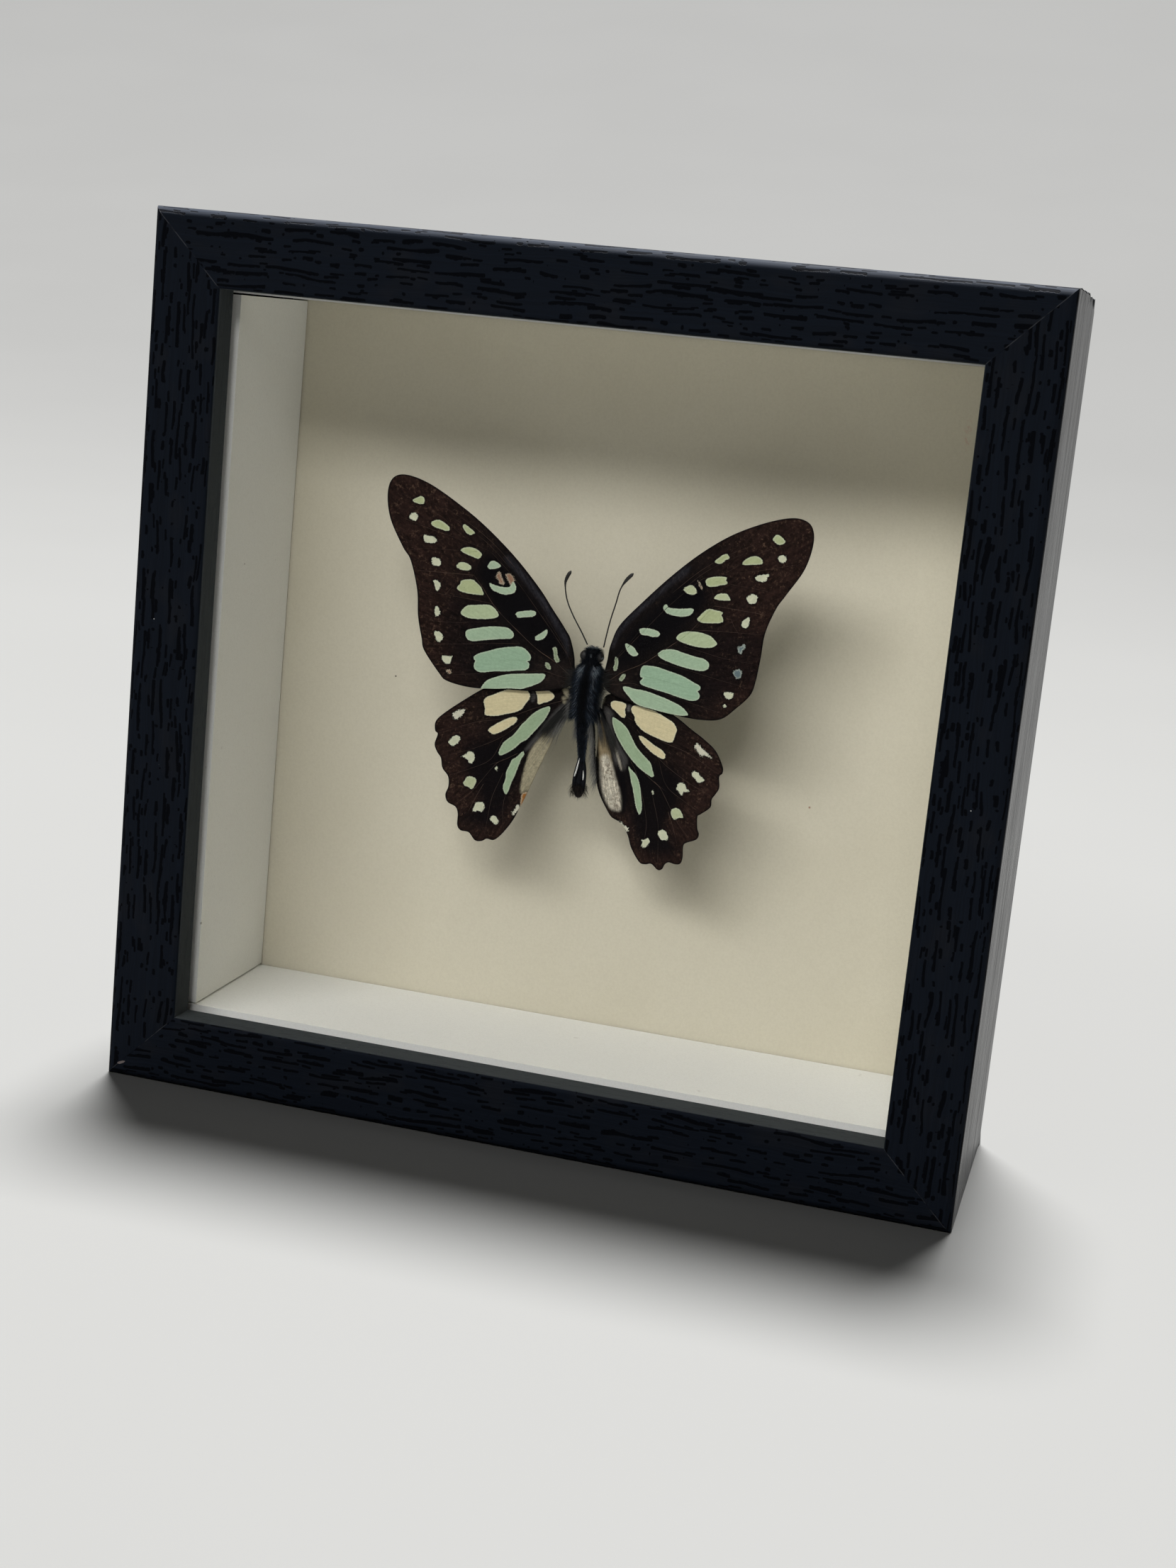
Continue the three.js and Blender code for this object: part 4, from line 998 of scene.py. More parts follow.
def smooth_line(points, steps, closed):
    """A smooth curve through points, with so many steps from one to the next."""
    points = np.array(points, float)
    if closed:
        before, start, end, after = (np.roll(points, shift, 0) for shift in (1, 0, -1, -2))
    else:
        padded = np.vstack([2 * points[0] - points[1], points, 2 * points[-1] - points[-2]])
        before, start, end, after = padded[:-3], padded[1:-2], padded[2:-1], padded[3:]
    t = (np.arange(steps) / steps)[None, :, None]
    before, start, end, after = (part[:, None, :] for part in (before, start, end, after))
    curve = 0.5 * (
        2 * start + (end - before) * t + (2 * before - 5 * start + 4 * end - after) * t**2
        + (3 * start - before - 3 * end + after) * t**3
    )
    curve = curve.reshape(-1, points.shape[1])
    return curve if closed else np.vstack([curve, points[-1]])


def nearest_on(points, loop):
    """The nearest place on a closed line to each point, and the distance to it."""
    start, run = loop, np.roll(loop, -1, 0) - loop
    span = np.maximum((run**2).sum(1), 1e-12)
    places, gaps = np.empty_like(points), np.empty(len(points))
    for first in range(0, len(points), 2000):
        some = points[first:first + 2000, None, :]
        t = np.clip((((some - start) * run).sum(2)) / span, 0, 1)
        candidates = start + t[..., None] * run
        distance = ((candidates - some) ** 2).sum(2)
        best = distance.argmin(1)
        rows = np.arange(len(best))
        places[first:first + 2000] = candidates[rows, best]
        gaps[first:first + 2000] = np.sqrt(distance[rows, best])
    return places, gaps


def is_inside(points, loop):
    """Which points a closed line goes round."""
    x, y = points[:, 0][:, None], points[:, 1][:, None]
    ax, ay = loop[:, 0], loop[:, 1]
    bx, by = np.roll(ax, -1), np.roll(ay, -1)
    rise = np.where(by == ay, 1e-9, by - ay)
    crosses = ((ay > y) != (by > y)) & (x < (bx - ax) * (y - ay) / rise + ax)
    return crosses.sum(1) % 2 == 1


def depth_outside(points, loop, reach):
    """How far each point lies outside a closed line, negative inside it, and reach if far off."""
    depth = np.full(len(points), float(reach))
    close = ((points > loop.min(0) - reach) & (points < loop.max(0) + reach)).all(1)
    if close.any():
        _, gaps = nearest_on(points[close], loop)
        depth[close] = np.where(is_inside(points[close], loop), -gaps, np.minimum(gaps, reach))
    return depth


def fade(value, low, high):
    """A smooth step: 0 at the low value and before it, 1 at the high value and past it."""
    t = np.clip((value - low) / (high - low), 0, 1)
    return t * t * (3 - 2 * t)


# ------------------------------------------------------------------ meshes


def set_attribute(mesh, name, kind, values):
    """A value for each vertex of a mesh."""
    fields = {"FLOAT": "value", "FLOAT_COLOR": "color"}
    values = np.asarray(values, np.float32)
    if kind == "FLOAT_COLOR":
        values = np.hstack([values, np.ones((len(values), 1), np.float32)])
    attribute = mesh.attributes.new(name, kind, "POINT")
    attribute.data.foreach_set(fields[kind], values.ravel())


def add_piece(mesh, name, materials, nodes=()):
    """Makes a finished mesh a piece of the object, in place of the named solids."""
    piece = bpy.data.objects.new(name, mesh)
    bpy.context.scene.collection.objects.link(piece)
    for material in materials:
        mesh.materials.append(material)
    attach(piece, "root")
    if nodes:
        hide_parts(*nodes)
    return piece


def to_mesh(bm, name, sharp=None):
    """Moves a front-view mesh into the frame's place and shades it smooth."""
    bmesh.ops.transform(bm, matrix=TO_WORLD, verts=bm.verts)
    mesh = bpy.data.meshes.new(name)
    bm.to_mesh(mesh)
    bm.free()
    mesh.shade_smooth()
    if sharp is not None:
        mesh.set_sharp_from_angle(angle=math.radians(sharp))
    return mesh


def only(kind, parts):
    """The parts of one kind, such as vertices, among those that an operator made."""
    return [part for part in parts if isinstance(part, kind)]


def add_tube(bm, course, radii, sides, flat=1.0, material=0):
    """A tapered tube with closed ends along a course of points. Returns its vertices."""
    course = np.asarray(course, float)
    tangents = np.gradient(course, axis=0)
    ring = bmesh.ops.create_circle(bm, cap_ends=False, segments=sides, radius=1)["verts"]
    made, rings = list(ring), [ring]
    edges = list({edge for vertex in ring for edge in vertex.link_edges})
    for _ in course[1:]:
        grown = bmesh.ops.extrude_edge_only(bm, edges=edges)["geom"]
        ring = only(bmesh.types.BMVert, grown)
        edges = only(bmesh.types.BMEdge, grown)
        edges = [edge for edge in edges if all(vertex in ring for vertex in edge.verts)]
        rings.append(ring)
        made += ring
    unit = [Vector((math.cos(a), math.sin(a), 0)) for a in np.arange(sides) * 2 * math.pi / sides]
    order = {vertex: index for index, vertex in enumerate(rings[0])}
    for vertex in rings[0]:
        order[vertex] = min(range(sides), key=lambda i: (unit[i] - vertex.co).length)
    for previous, ring in zip(rings, rings[1:]):
        for vertex in ring:
            below = [edge.other_vert(vertex) for edge in vertex.link_edges]
            order[vertex] = next(order[other] for other in below if other in previous)
    for centre, tangent, radius, ring in zip(course, tangents, radii, rings):
        turn = Vector(tangent).to_track_quat("Z", "Y")
        for vertex in ring:
            around = unit[order[vertex]] * float(radius)
            around.y *= flat
            vertex.co = Vector(centre) + turn @ around
    caps = [bmesh.ops.contextual_create(bm, geom=ring)["faces"] for ring in (rings[0], rings[-1])]
    faces = {face for vertex in made for face in vertex.link_faces}
    faces |= {face for cap in caps for face in cap}
    bmesh.ops.recalc_face_normals(bm, faces=list(faces))
    for face in faces:
        face.material_index = material
    return made


# ------------------------------------------------------------------ rails


def rail_mesh(side, settings):
    """A mitred, rebated rail, drawn as the top one and turned to its side."""
    opening = HALF - settings.rail_face / MM
    rebate = opening + settings.lip_reach / MM
    lip = settings.lip_depth / MM
    profile = [(rebate, -DEPTH), (HALF, -DEPTH), (HALF, 0), (opening, 0), (opening, -lip),
               (rebate, -lip)]
    bm = bmesh.new()
    ends = [bm.verts.new((-HALF, y, z)) for y, z in profile]
    end = bm.faces.new(ends)
    grown = bmesh.ops.extrude_face_region(bm, geom=[end])["geom"]
    far = only(bmesh.types.BMVert, grown)
    bmesh.ops.translate(bm, vec=(SIDE, 0, 0), verts=far)
    bmesh.ops.recalc_face_normals(bm, faces=bm.faces)

    def round_edge(y, z, radius, segments):
        edges = [
            edge for edge in bm.edges
            if all(abs(v.co.y - y) < 0.01 and abs(v.co.z - z) < 0.01 for v in edge.verts)
        ]
        bmesh.ops.bevel(
            bm, geom=edges, offset=radius / MM, offset_type="OFFSET", segments=segments,
            profile=0.5, affect="EDGES", material=-1, clamp_overlap=True,
        )

    round_edge(HALF, 0, settings.outer_edge, 6)
    round_edge(opening, 0, settings.inner_edge, 5)
    round_edge(HALF, -DEPTH, settings.back_edge, 3)
    round_edge(rebate, -DEPTH, settings.back_edge, 2)
    across = [(0, 0, float(depth)) for depth in np.linspace(-2.5, -DEPTH + 1, 26)]
    along = [(share * HALF, 0, 0) for share in (-0.97, -0.9, -0.5, 0.0, 0.5, 0.9, 0.97)]
    for places, normal in ((across, (0, 0, 1)), (along, (1, 0, 0))):
        for place in places:
            bmesh.ops.bisect_plane(
                bm, geom=bm.verts[:] + bm.edges[:] + bm.faces[:], plane_co=place, plane_no=normal,
            )
    joint = settings.joint / MM
    for vertex in bm.verts:
        vertex.co.x *= (vertex.co.y - joint) / HALF
    tear_corner(bm, side)
    chart_grain(bm, side)
    bmesh.ops.rotate(
        bm, verts=bm.verts, cent=(0, 0, 0),
        matrix=Matrix.Rotation(math.radians(RAIL_TURNS[side]), 3, "Z"),
    )
    return to_mesh(bm, f"{side}_rail", sharp=35)


def tear_corner(bm, side):
    """Frays the foil where the top and right rails meet, and lifts a flake low on the right one."""
    chance = np.random.default_rng({"top": 3, "right": 5}.get(side, 0))
    for vertex in bm.verts:
        x, y, z = vertex.co
        jitter = chance.random(3)
        at_end = abs(abs(x) - y) < 0.1
        if not at_end or y < HALF - 0.05 or side not in ("top", "right"):
            continue
        torn_end = x > 0 if side == "top" else x < 0
        if torn_end and z < -2:
            lift = min(1.0, (-z - 2) / 5) * (0.06 + 0.2 * jitter[0])
            vertex.co.y += lift if z > -30 else -lift
            vertex.co.x -= math.copysign(0.25 * jitter[1], x)
        elif side == "right" and not torn_end and z < 1.2 - DEPTH:
            vertex.co.y += 0.2


def chart_grain(bm, side):
    """A map whose u runs along the rail and whose v runs round its section, in millimetres."""
    layer = bm.loops.layers.uv.new("grain")
    offset = 400 * list(RAIL_TURNS).index(side)
    for face in bm.faces:
        middle = face.calc_center_median()
        outside = middle.y > HALF - 6 or middle.z < 1 - DEPTH
        for loop in face.loops:
            x, y, z = loop.vert.co
            loop[layer].uv = (x + offset, y - z if outside else y + z)


# ------------------------------------------------------------------ wings


def wing_height(points, side, hind, settings):
    """Height of a wing's front surface at points given as distance out and height."""
    out, up = points[:, 0], points[:, 1]
    height = -settings.surface / MM + settings.slope * (out - settings.root / MM)
    height = height - hind * settings.hind_drop / MM
    height = height + 0.1 * np.sin(0.42 * out + 0.5 * side) * np.sin(0.37 * up)
    if hind:
        inner = fade(out + 0.28 * up, 4.5, 1.5) * fade(up, -3, -7)
        height = height + 0.3 * inner * np.sin(2.3 * (out + 0.3 * up))
    return height


def wing_mesh(name, settings):
    """A thin wing on a fine net, which carries its markings as values on its vertices."""
    side, hind, outline, spots, areas, veins = WINGS[name]
    edge = smooth_line(outline, 14, closed=True)
    cell = settings.cell / MM
    low, high = edge.min(0) - cell, edge.max(0) + cell
    steps = np.ceil((high - low) / cell).astype(int)
    bm = bmesh.new()
    bmesh.ops.create_grid(bm, x_segments=int(steps[0]), y_segments=int(steps[1]), size=0.5)
    bmesh.ops.scale(bm, vec=(high[0] - low[0], high[1] - low[1], 1), verts=bm.verts)
    centre = (low + high) / 2
    bmesh.ops.translate(bm, vec=(centre[0], centre[1], 0), verts=bm.verts)

    points = np.array([vertex.co[:2] for vertex in bm.verts])
    places, gaps = nearest_on(points, edge)
    inside = is_inside(points, edge)
    snapped = gaps < 0.5 * cell
    bm.verts.ensure_lookup_table()
    for index in np.flatnonzero(snapped):
        bm.verts[int(index)].co.xy = places[index]
    outside = [bm.verts[int(index)] for index in np.flatnonzero(~inside & ~snapped)]
    bmesh.ops.delete(bm, geom=outside, context="VERTS")
    loose = [vertex for vertex in bm.verts if vertex.is_boundary]
    ends, _ = nearest_on(np.array([vertex.co[:2] for vertex in loose]), edge)
    for vertex, end in zip(loose, ends):
        vertex.co.xy = end
    for _ in range(2):
        near = [v for v in bm.verts if not v.is_boundary and any(e.other_vert(v).is_boundary
                                                                   for e in v.link_edges)]
        bmesh.ops.smooth_vert(bm, verts=near, factor=0.5, use_axis_x=True, use_axis_y=True)
    bmesh.ops.dissolve_degenerate(bm, dist=0.005, edges=bm.edges)

    points = np.array([vertex.co[:2] for vertex in bm.verts])
    for vertex, height in zip(bm.verts, wing_height(points, side, hind, settings)):
        vertex.co.z = height
    numbers = ("spot", "fray", "wear", "rim", "vein", "fold")
    layers = {key: bm.verts.layers.float.new(key) for key in numbers}
    layers["rays"] = bm.verts.layers.float_vector.new("rays")
    layers |= {key: bm.verts.layers.float_color.new(key) for key in ("ground", "tint")}
    mark_vertices(list(bm.verts), layers, mark_wing(points, edge, hind, spots, areas, settings))
    bmesh.ops.solidify(bm, geom=bm.faces[:], thickness=settings.sheet / MM)
    for thickness, strength, course in veins:
        ridge = raise_vein(bm, thickness, course, side, hind, settings)
        points = np.array([vertex.co[:2] for vertex in ridge])
        marks = mark_wing(points, edge, hind, spots, areas, settings)
        marks["vein"] = strength * fade(marks["spot"], -0.05, 0.35)
        mark_vertices(ridge, layers, marks)
    if side < 0:
        bmesh.ops.scale(bm, vec=(-1, 1, 1), verts=bm.verts)
        bmesh.ops.reverse_faces(bm, faces=bm.faces)
    return to_mesh(bm, name)


PALE_FOLDS = ("beige", "silver", "tan")  # tints of the hindwings' bare, silky folds


def mark_wing(points, edge, hind, spots, areas, settings):
    """Markings at points of a wing: colours, distances and wear."""
    out, up = points[:, 0], points[:, 1]
    reach = 1.0
    spot = np.full(len(points), reach)
    tint = np.zeros((len(points), 3))
    fray = np.full(len(points), 0.05)
    for name, outline in spots:
        depth = depth_outside(points, smooth_line(outline, 4, closed=True), reach)
        closer = depth < spot
        spot[closer] = depth[closer]
        tint[closer], fray[closer] = TINTS[name]
    outward = fade(out, 14, 30) if not hind else fade(np.hypot(out, up), 12, 26)
    ground = np.array(settings.dark) + outward[:, None] * (
        np.array(settings.brown) - np.array(settings.dark)
    )
    wear = 0.25 + 0.75 * outward
    fold = np.zeros(len(points))
    for name, strength, softness, worn, outline in areas:
        depth = depth_outside(points, smooth_line(outline, 4, closed=True), softness + 0.5)
        share = strength * fade(depth, softness, -softness)
        ground += share[:, None] * (np.array(TINTS[name][0]) - ground)
        wear += share * (worn - wear)
        if name in PALE_FOLDS:
            fold = np.maximum(fold, share * (1 if name == "silver" else 0.6))
    _, rim = nearest_on(points, edge)
    rim = rim + fold
    root = np.array([settings.root / MM, -0.5 if hind else 2.5])
    rays = np.column_stack([
        np.linalg.norm(points - root, axis=1), np.arctan2(*(points - root).T), np.zeros(len(out))
    ])
    ones = np.ones((len(points), 1))
    return {
        "spot": spot, "fray": fray, "wear": wear, "rim": rim, "vein": np.zeros(len(points)),
        "fold": fold, "rays": rays, "ground": np.hstack([ground, ones]),
        "tint": np.hstack([tint, ones]),
    }


def mark_vertices(verts, layers, marks):
    """Writes the markings on vertices."""
    for key, layer in layers.items():
        for vertex, value in zip(verts, marks[key].tolist()):
            vertex[layer] = value


def raise_vein(bm, thickness, course, side, hind, settings):
    """Lays a vein on the wing as a thin, tapering ridge, and returns its vertices."""
    line = smooth_line(course, 5, closed=False)
    height = wing_height(line, side, hind, settings) + 0.1 * thickness
    taper = 1 - 0.55 * np.linspace(0, 1, len(line)) ** 2
    taper[-1] = 0.15
    return add_tube(bm, np.column_stack([line, height]), thickness / 1.6 * taper, 5)


# ------------------------------------------------------------------ body


def sway(height):
    """How far to one side the body's middle lies at a height."""
    heights, shifts = zip(*BODY_SWAY)
    return np.interp(height, heights, shifts)


def body_mesh(settings):
    """Head, thorax and ringed abdomen turned from one profile, with eyes and claspers."""
    bm = bmesh.new()
    profile = smooth_line(BODY_PROFILE, 5, closed=False)
    ring_depth = 0.05 * fade(profile[:, 1], -3.5, -4.5) * fade(profile[:, 1], -17, -16)
    profile[:, 0] = np.maximum(profile[:, 0], 0)
    profile[:, 0] *= 1 - ring_depth * (1 + np.cos(profile[:, 1] * 2 * math.pi / 1.45))
    verts = [bm.verts.new((radius, height, 0)) for radius, height in profile]
    edges = [bm.edges.new(pair) for pair in zip(verts, verts[1:])]
    bmesh.ops.spin(
        bm, geom=verts + edges, axis=(0, 1, 0), cent=(0, 0, 0), angle=2 * math.pi, steps=36,
        use_merge=True,
    )
    bmesh.ops.remove_doubles(bm, verts=bm.verts, dist=0.001)
    middle = -settings.middle / MM
    for vertex in bm.verts:
        x, y, z = vertex.co
        waist = 1 + 0.07 * math.sin(1.7 * y) * math.exp(-((y - 2) / 4) ** 2)
        groove = 0.16 * math.exp(-((x / 0.5) ** 2)) * fade(y, -3, -1) * fade(y, 5.5, 4)
        groove = groove if z > 0 else 0
        vertex.co = (x * waist + sway(y), y, z * 0.92 - groove + middle)
    bmesh.ops.recalc_face_normals(bm, faces=bm.faces)

    for x, y, z, width in EYES:
        eye = bmesh.ops.create_uvsphere(bm, u_segments=24, v_segments=16, radius=1)["verts"]
        bmesh.ops.scale(bm, vec=(0.82 * width, 0.92, 0.85), verts=eye)
        bmesh.ops.translate(bm, vec=(x, y, z + middle), verts=eye)
        for face in {face for vertex in eye for face in vertex.link_faces}:
            face.material_index = 1
    for course, radius, material in CLASPERS:
        line = smooth_line(course, 6, closed=False)
        line[:, 2] += middle
        swell = np.sin(np.linspace(0.12, math.pi - 0.12, len(line))) ** 0.6
        add_tube(bm, line, radius * swell, 10, flat=0.7, material=material)
    return to_mesh(bm, "butterfly_body_form")


# Eyes: x, height, z from the body's middle, and width. Claspers: course, radius, material number.
EYES = [(-1.1, 7.1, 0.35, 1.05), (1.5, 7.15, 0.2, 0.95)]
CLASPERS = [
    ([(-0.2, -10.2, 0.1), (-0.5, -12, 0.15), (-0.8, -14.2, 0.2), (-0.8, -16, 0.2),
      (-0.4, -17.6, 0.1)], 0.42, 0),
    ([(0.35, -10.6, 0.1), (0.7, -12.4, 0.15), (0.85, -14.6, 0.2), (0.8, -16.4, 0.2),
      (0.35, -17.8, 0.1)], 0.42, 0),
    ([(-0.25, -10.8, 0.42), (-0.45, -12.2, 0.5), (-0.72, -13.6, 0.5), (-0.95, -14.3, 0.4)],
     0.17, 2),
    ([(0.62, -12.9, 0.45), (0.72, -13.6, 0.5), (0.74, -14.2, 0.5), (0.7, -14.7, 0.4)], 0.13, 2),
]


def hair_mesh(name, roots, directions, lengths, bends, tones, radius, levels=3):
    """Many tapered, three-sided hairs in one mesh, in front-view millimetres."""
    count = len(roots)
    directions = directions / np.linalg.norm(directions, axis=1, keepdims=True)
    helper = np.where(np.abs(directions[:, :1]) < 0.8, [[1.0, 0, 0]], [[0, 0, 1.0]])
    first = np.cross(directions, helper)
    first /= np.linalg.norm(first, axis=1, keepdims=True)
    second = np.cross(directions, first)
    rows, along = [], []
    for level in range(levels):
        t = level / levels
        centre = roots + lengths[:, None] * (directions * t + bends * t * t)
        for corner in range(3):
            angle = 2 * math.pi * corner / 3
            around = first * math.cos(angle) + second * math.sin(angle)
            rows.append(centre + around * (radius * (1 - 0.8 * t)))
            along.append(t)
    rows.append(roots + lengths[:, None] * (directions + bends))
    along.append(1.0)
    per = len(rows)
    vertices = np.stack(rows, 1).reshape(-1, 3)
    pattern = []
    for level in range(levels - 1):
        for corner in range(3):
            low, high = 3 * level, 3 * (level + 1)
            after = (corner + 1) % 3
            pattern.append((low + corner, low + after, high + after, high + corner))
    last = 3 * (levels - 1)
    quads = np.array(pattern)[None] + per * np.arange(count)[:, None, None]
    tips = [(last + corner, last + (corner + 1) % 3, per - 1) for corner in range(3)]
    tips += [(2, 1, 0)]
    tips = np.array(tips)[None] + per * np.arange(count)[:, None, None]
    faces = [*map(tuple, quads.reshape(-1, 4)), *map(tuple, tips.reshape(-1, 3))]
    mesh = bpy.data.meshes.new(name)
    mesh.from_pydata(vertices, [], faces)
    mesh.transform(TO_WORLD)
    set_attribute(mesh, "along", "FLOAT", np.tile(along, count))
    set_attribute(mesh, "tone", "FLOAT_COLOR", np.repeat(tones, per, 0))
    mesh.shade_smooth()
    return mesh


def body_surface(heights, angles, settings):
    """Places on the body and the way out of it there, by height and angle from the right."""
    radii, levels = zip(*BODY_PROFILE)
    radius = np.interp(heights, levels, radii)
    out = np.column_stack([np.cos(angles), np.zeros(len(angles)), np.sin(angles)])
    places = np.column_stack([
        radius * np.cos(angles) + sway(heights), heights,
        0.92 * radius * np.sin(angles) - settings.middle / MM,
    ])
    return places, out


def thorax_hair(settings):
    """Blue-grey hair on the thorax, dark along the back's middle, lying towards the tail."""
    chance = np.random.default_rng(11)
    count = settings.thorax_hairs
    heights = chance.uniform(-3.4, 5.9, count)
    angles = chance.uniform(-0.5, math.pi + 0.5, count)
    places, out = body_surface(heights, angles, settings)
    side = np.cos(angles)
    lean = np.column_stack([0.5 * side, -np.ones(count), 0.25 * np.ones(count)])
    directions = 0.55 * out + lean + chance.normal(0, 0.22, (count, 3))
    lengths = chance.uniform(0.7, 1.7, count) + 0.6 * fade(heights, 0, -3)
    streak = np.exp(-((np.abs(side) - 0.55) / 0.2) ** 2) + 0.35 * fade(np.abs(side), 0.7, 1.0)
    streak += 1.1 * np.exp(-((np.abs(side) - 0.5) / 0.25) ** 2) * fade(heights, 3.6, 4.8)
    share = np.clip(streak * chance.uniform(0, 1, count) ** 2.2, 0, 0.95)
    tones = blend_tones(settings, share)
    bends = np.column_stack([0.15 * side, np.full(count, -0.1), np.full(count, -0.22)])
    return hair_mesh("thorax_hair", places, directions, lengths, bends, tones,
                     settings.hair_radius / MM)


def blend_tones(settings, share):
    """Hair tones from dark to pale, a little blue in between."""
    dark, light = np.array(settings.hair_dark), np.array(settings.hair_light)
    middle = np.array(paint(62, 76, 94))
    share = share[:, None]
    first = dark + np.clip(share * 2, 0, 1) * (middle - dark)
    return first + np.clip(share * 2 - 1, 0, 1) * (light - first)


def head_and_tail_hair(settings):
    """Short hair on the head, the abdomen and the tuft at its end."""
    chance = np.random.default_rng(23)
    count = settings.abdomen_hairs
    heights = np.concatenate([
        chance.uniform(-11, -2.5, count), chance.uniform(-17, -15.2, 420),
        chance.uniform(5.6, 8.7, 1500),
    ])
    total = len(heights)
    angles = chance.uniform(-0.3, math.pi + 0.3, total)
    places, out = body_surface(heights, angles, settings)
    head, tuft = heights > 5.5, heights < -15
    places[tuft, 0] += chance.uniform(-0.75, 0.75, tuft.sum())
    lean = np.column_stack([0.15 * np.cos(angles), np.where(head, 0.5, -1.0), np.full(total, 0.05)])
    spread = np.where(tuft, 0.28, 0.15)[:, None]
    directions = np.where(head, 0.9, 0.25)[:, None] * out + lean
    directions = directions + spread * chance.normal(0, 1, (total, 3))
    lengths = np.where(head, chance.uniform(0.35, 0.85, total), chance.uniform(0.5, 0.95, total))
    lengths = np.where(tuft, chance.uniform(0.9, 1.7, total), lengths)
    share = np.where(head, 0.12, 0.16) * chance.uniform(0, 1, total)
    share = np.where(head & (heights > 8.3), chance.uniform(0, 0.5, total), share)
    share = np.where(~head & ~tuft & (np.abs(np.cos(angles)) > 0.7), share + 0.2, share)
    tones = blend_tones(settings, share)
    tones[tuft] = np.array(paint(48, 40, 34)) * chance.uniform(0.5, 1.4, (tuft.sum(), 1))
    bends = np.column_stack([np.zeros(total), np.zeros(total), np.full(total, -0.15)])
    return hair_mesh("abdomen_hair", places, directions, lengths, bends, tones,
                     0.9 * settings.hair_radius / MM)


# Tufts of pale scales: centre, spread, direction, length, count, tone.
TUFTS = [
    ((0.3, 7.2, 1.35), (0.14, 0.26, 0.1), (0, 0.5, 1), 0.45, 50, paint(150, 158, 162)),
    ((2.2, 7.15, 0.95), (0.2, 0.16, 0.12), (0.5, 0, 0.8), 0.4, 36, paint(130, 138, 142)),
    ((0.5, 8.45, 0.7), (0.7, 0.12, 0.2), (0, 1, 0.6), 0.6, 150, paint(110, 116, 118)),
    ((-1.05, 5.1, 1.5), (0.35, 0.35, 0.12), (-0.2, -1, 0.3), 0.8, 130, paint(126, 140, 150)),
    ((1.35, 4.9, 1.4), (0.3, 0.4, 0.12), (0.2, -1, 0.3), 0.8, 130, paint(126, 140, 150)),
]

# Long hairs beside the body: roots from one point to another, where the hairs of the last root
# end, how far the tips spread, how pale they are, and their share of all long hairs.
LONG_HAIR = [
    ((-1.8, 1.6), (-1.6, -3), (-2.4, -4.6), 0.4, 0.9, 0.12),
    ((-1.3, -3), (-1, -6.4), (-1.7, -8.6), 0.3, 0.8, 0.06),
    ((-2.2, 0.2), (-3, -2.2), (-4.6, -6), 0.5, 0.16, 0.05),
    ((-2.3, 0.6), (-2.9, -2.6), (-3.7, -4.8), 0.4, 1.0, 0.11),
    ((-2.6, -0.8), (-4.2, -2.4), (-8.4, -9.4), 0.5, 0.14, 0.14),
    ((-2.6, -2), (-4.4, -4), (-7, -10.8), 0.7, 0.8, 0.04),
    ((1.2, -2.6), (1.9, -6), (1.2, -9.4), 0.35, 0.9, 0.07),
    ((1.9, -6), (2.5, -11), (1.9, -14), 0.3, 0.9, 0.06),
    ((2.5, -10), (3.2, -14), (2.6, -17), 0.3, 0.8, 0.03),
    ((1.8, -1.6), (2.4, -3), (3.8, -9), 0.35, 0.4, 0.05),
    ((2.4, -1.6), (3.4, -3), (6.6, -10.6), 0.45, 0.18, 0.1),
    ((-1.9, 4.4), (-2, 0.6), (-4.4, 1.6), 0.7, 0.12, 0.09),
    ((1.6, 4.4), (1.5, 0.4), (4.2, 1.8), 0.7, 0.12, 0.09),
    ((-1.9, 1.2), (-1.9, -1.4), (-3.6, -1.8), 0.4, 0.4, 0.05),
    ((1.4, 1.2), (1.4, -1.6), (3, -1.8), 0.4, 0.4, 0.05),
]


def long_hair(settings):
    """Long grey hairs from the thorax and the hindwings' inner margins, and the pale tufts."""
    chance = np.random.default_rng(31)
    middle = -settings.middle / MM
    parts = []
    for start, end, tip, spread, pale, share in LONG_HAIR:
        count = int(settings.long_hairs * share)
        t = chance.random(count)[:, None]
        roots = np.array(start) + t * (np.array(end) - np.array(start))
        tips = np.array(tip) + chance.normal(0, spread, (count, 2)) + 0.8 * (roots - np.array(end))
        roots = np.column_stack([roots, middle + chance.uniform(-0.4, 0.5, count)])
        tips = np.column_stack([tips, middle + chance.uniform(0.3, 1.2, count)])
        run = tips - roots
        lengths = np.linalg.norm(run, axis=1) * chance.uniform(0.55, 1.0, count)
        bends = np.column_stack([chance.normal(0, 0.06, count), chance.normal(0, 0.05, count),
                                 chance.normal(0, 0.05, count)])
        tones = np.array(paint(196, 195, 190)) * pale * chance.uniform(0.1, 1, (count, 1))
        parts.append((roots, run, lengths, bends, tones))
    for centre, spread, direction, size, count, tone in TUFTS:
        roots = np.array(centre) + chance.normal(0, 0.6, (count, 3)) * np.array(spread)
        roots[:, 2] += middle
        run = np.array(direction) + chance.normal(0, 0.25, (count, 3))
        tones = np.array(tone) * chance.uniform(0.7, 1.15, (count, 1))
        bends = chance.normal(0, 0.1, (count, 3))
        parts.append((roots, run, size * chance.uniform(0.6, 1.1, count), bends, tones))
    roots, runs, lengths, bends, tones = (np.concatenate(column) for column in zip(*parts))
    return hair_mesh("long_body_hair", roots, runs, lengths, bends, tones,
                     0.85 * settings.hair_radius / MM, levels=4)


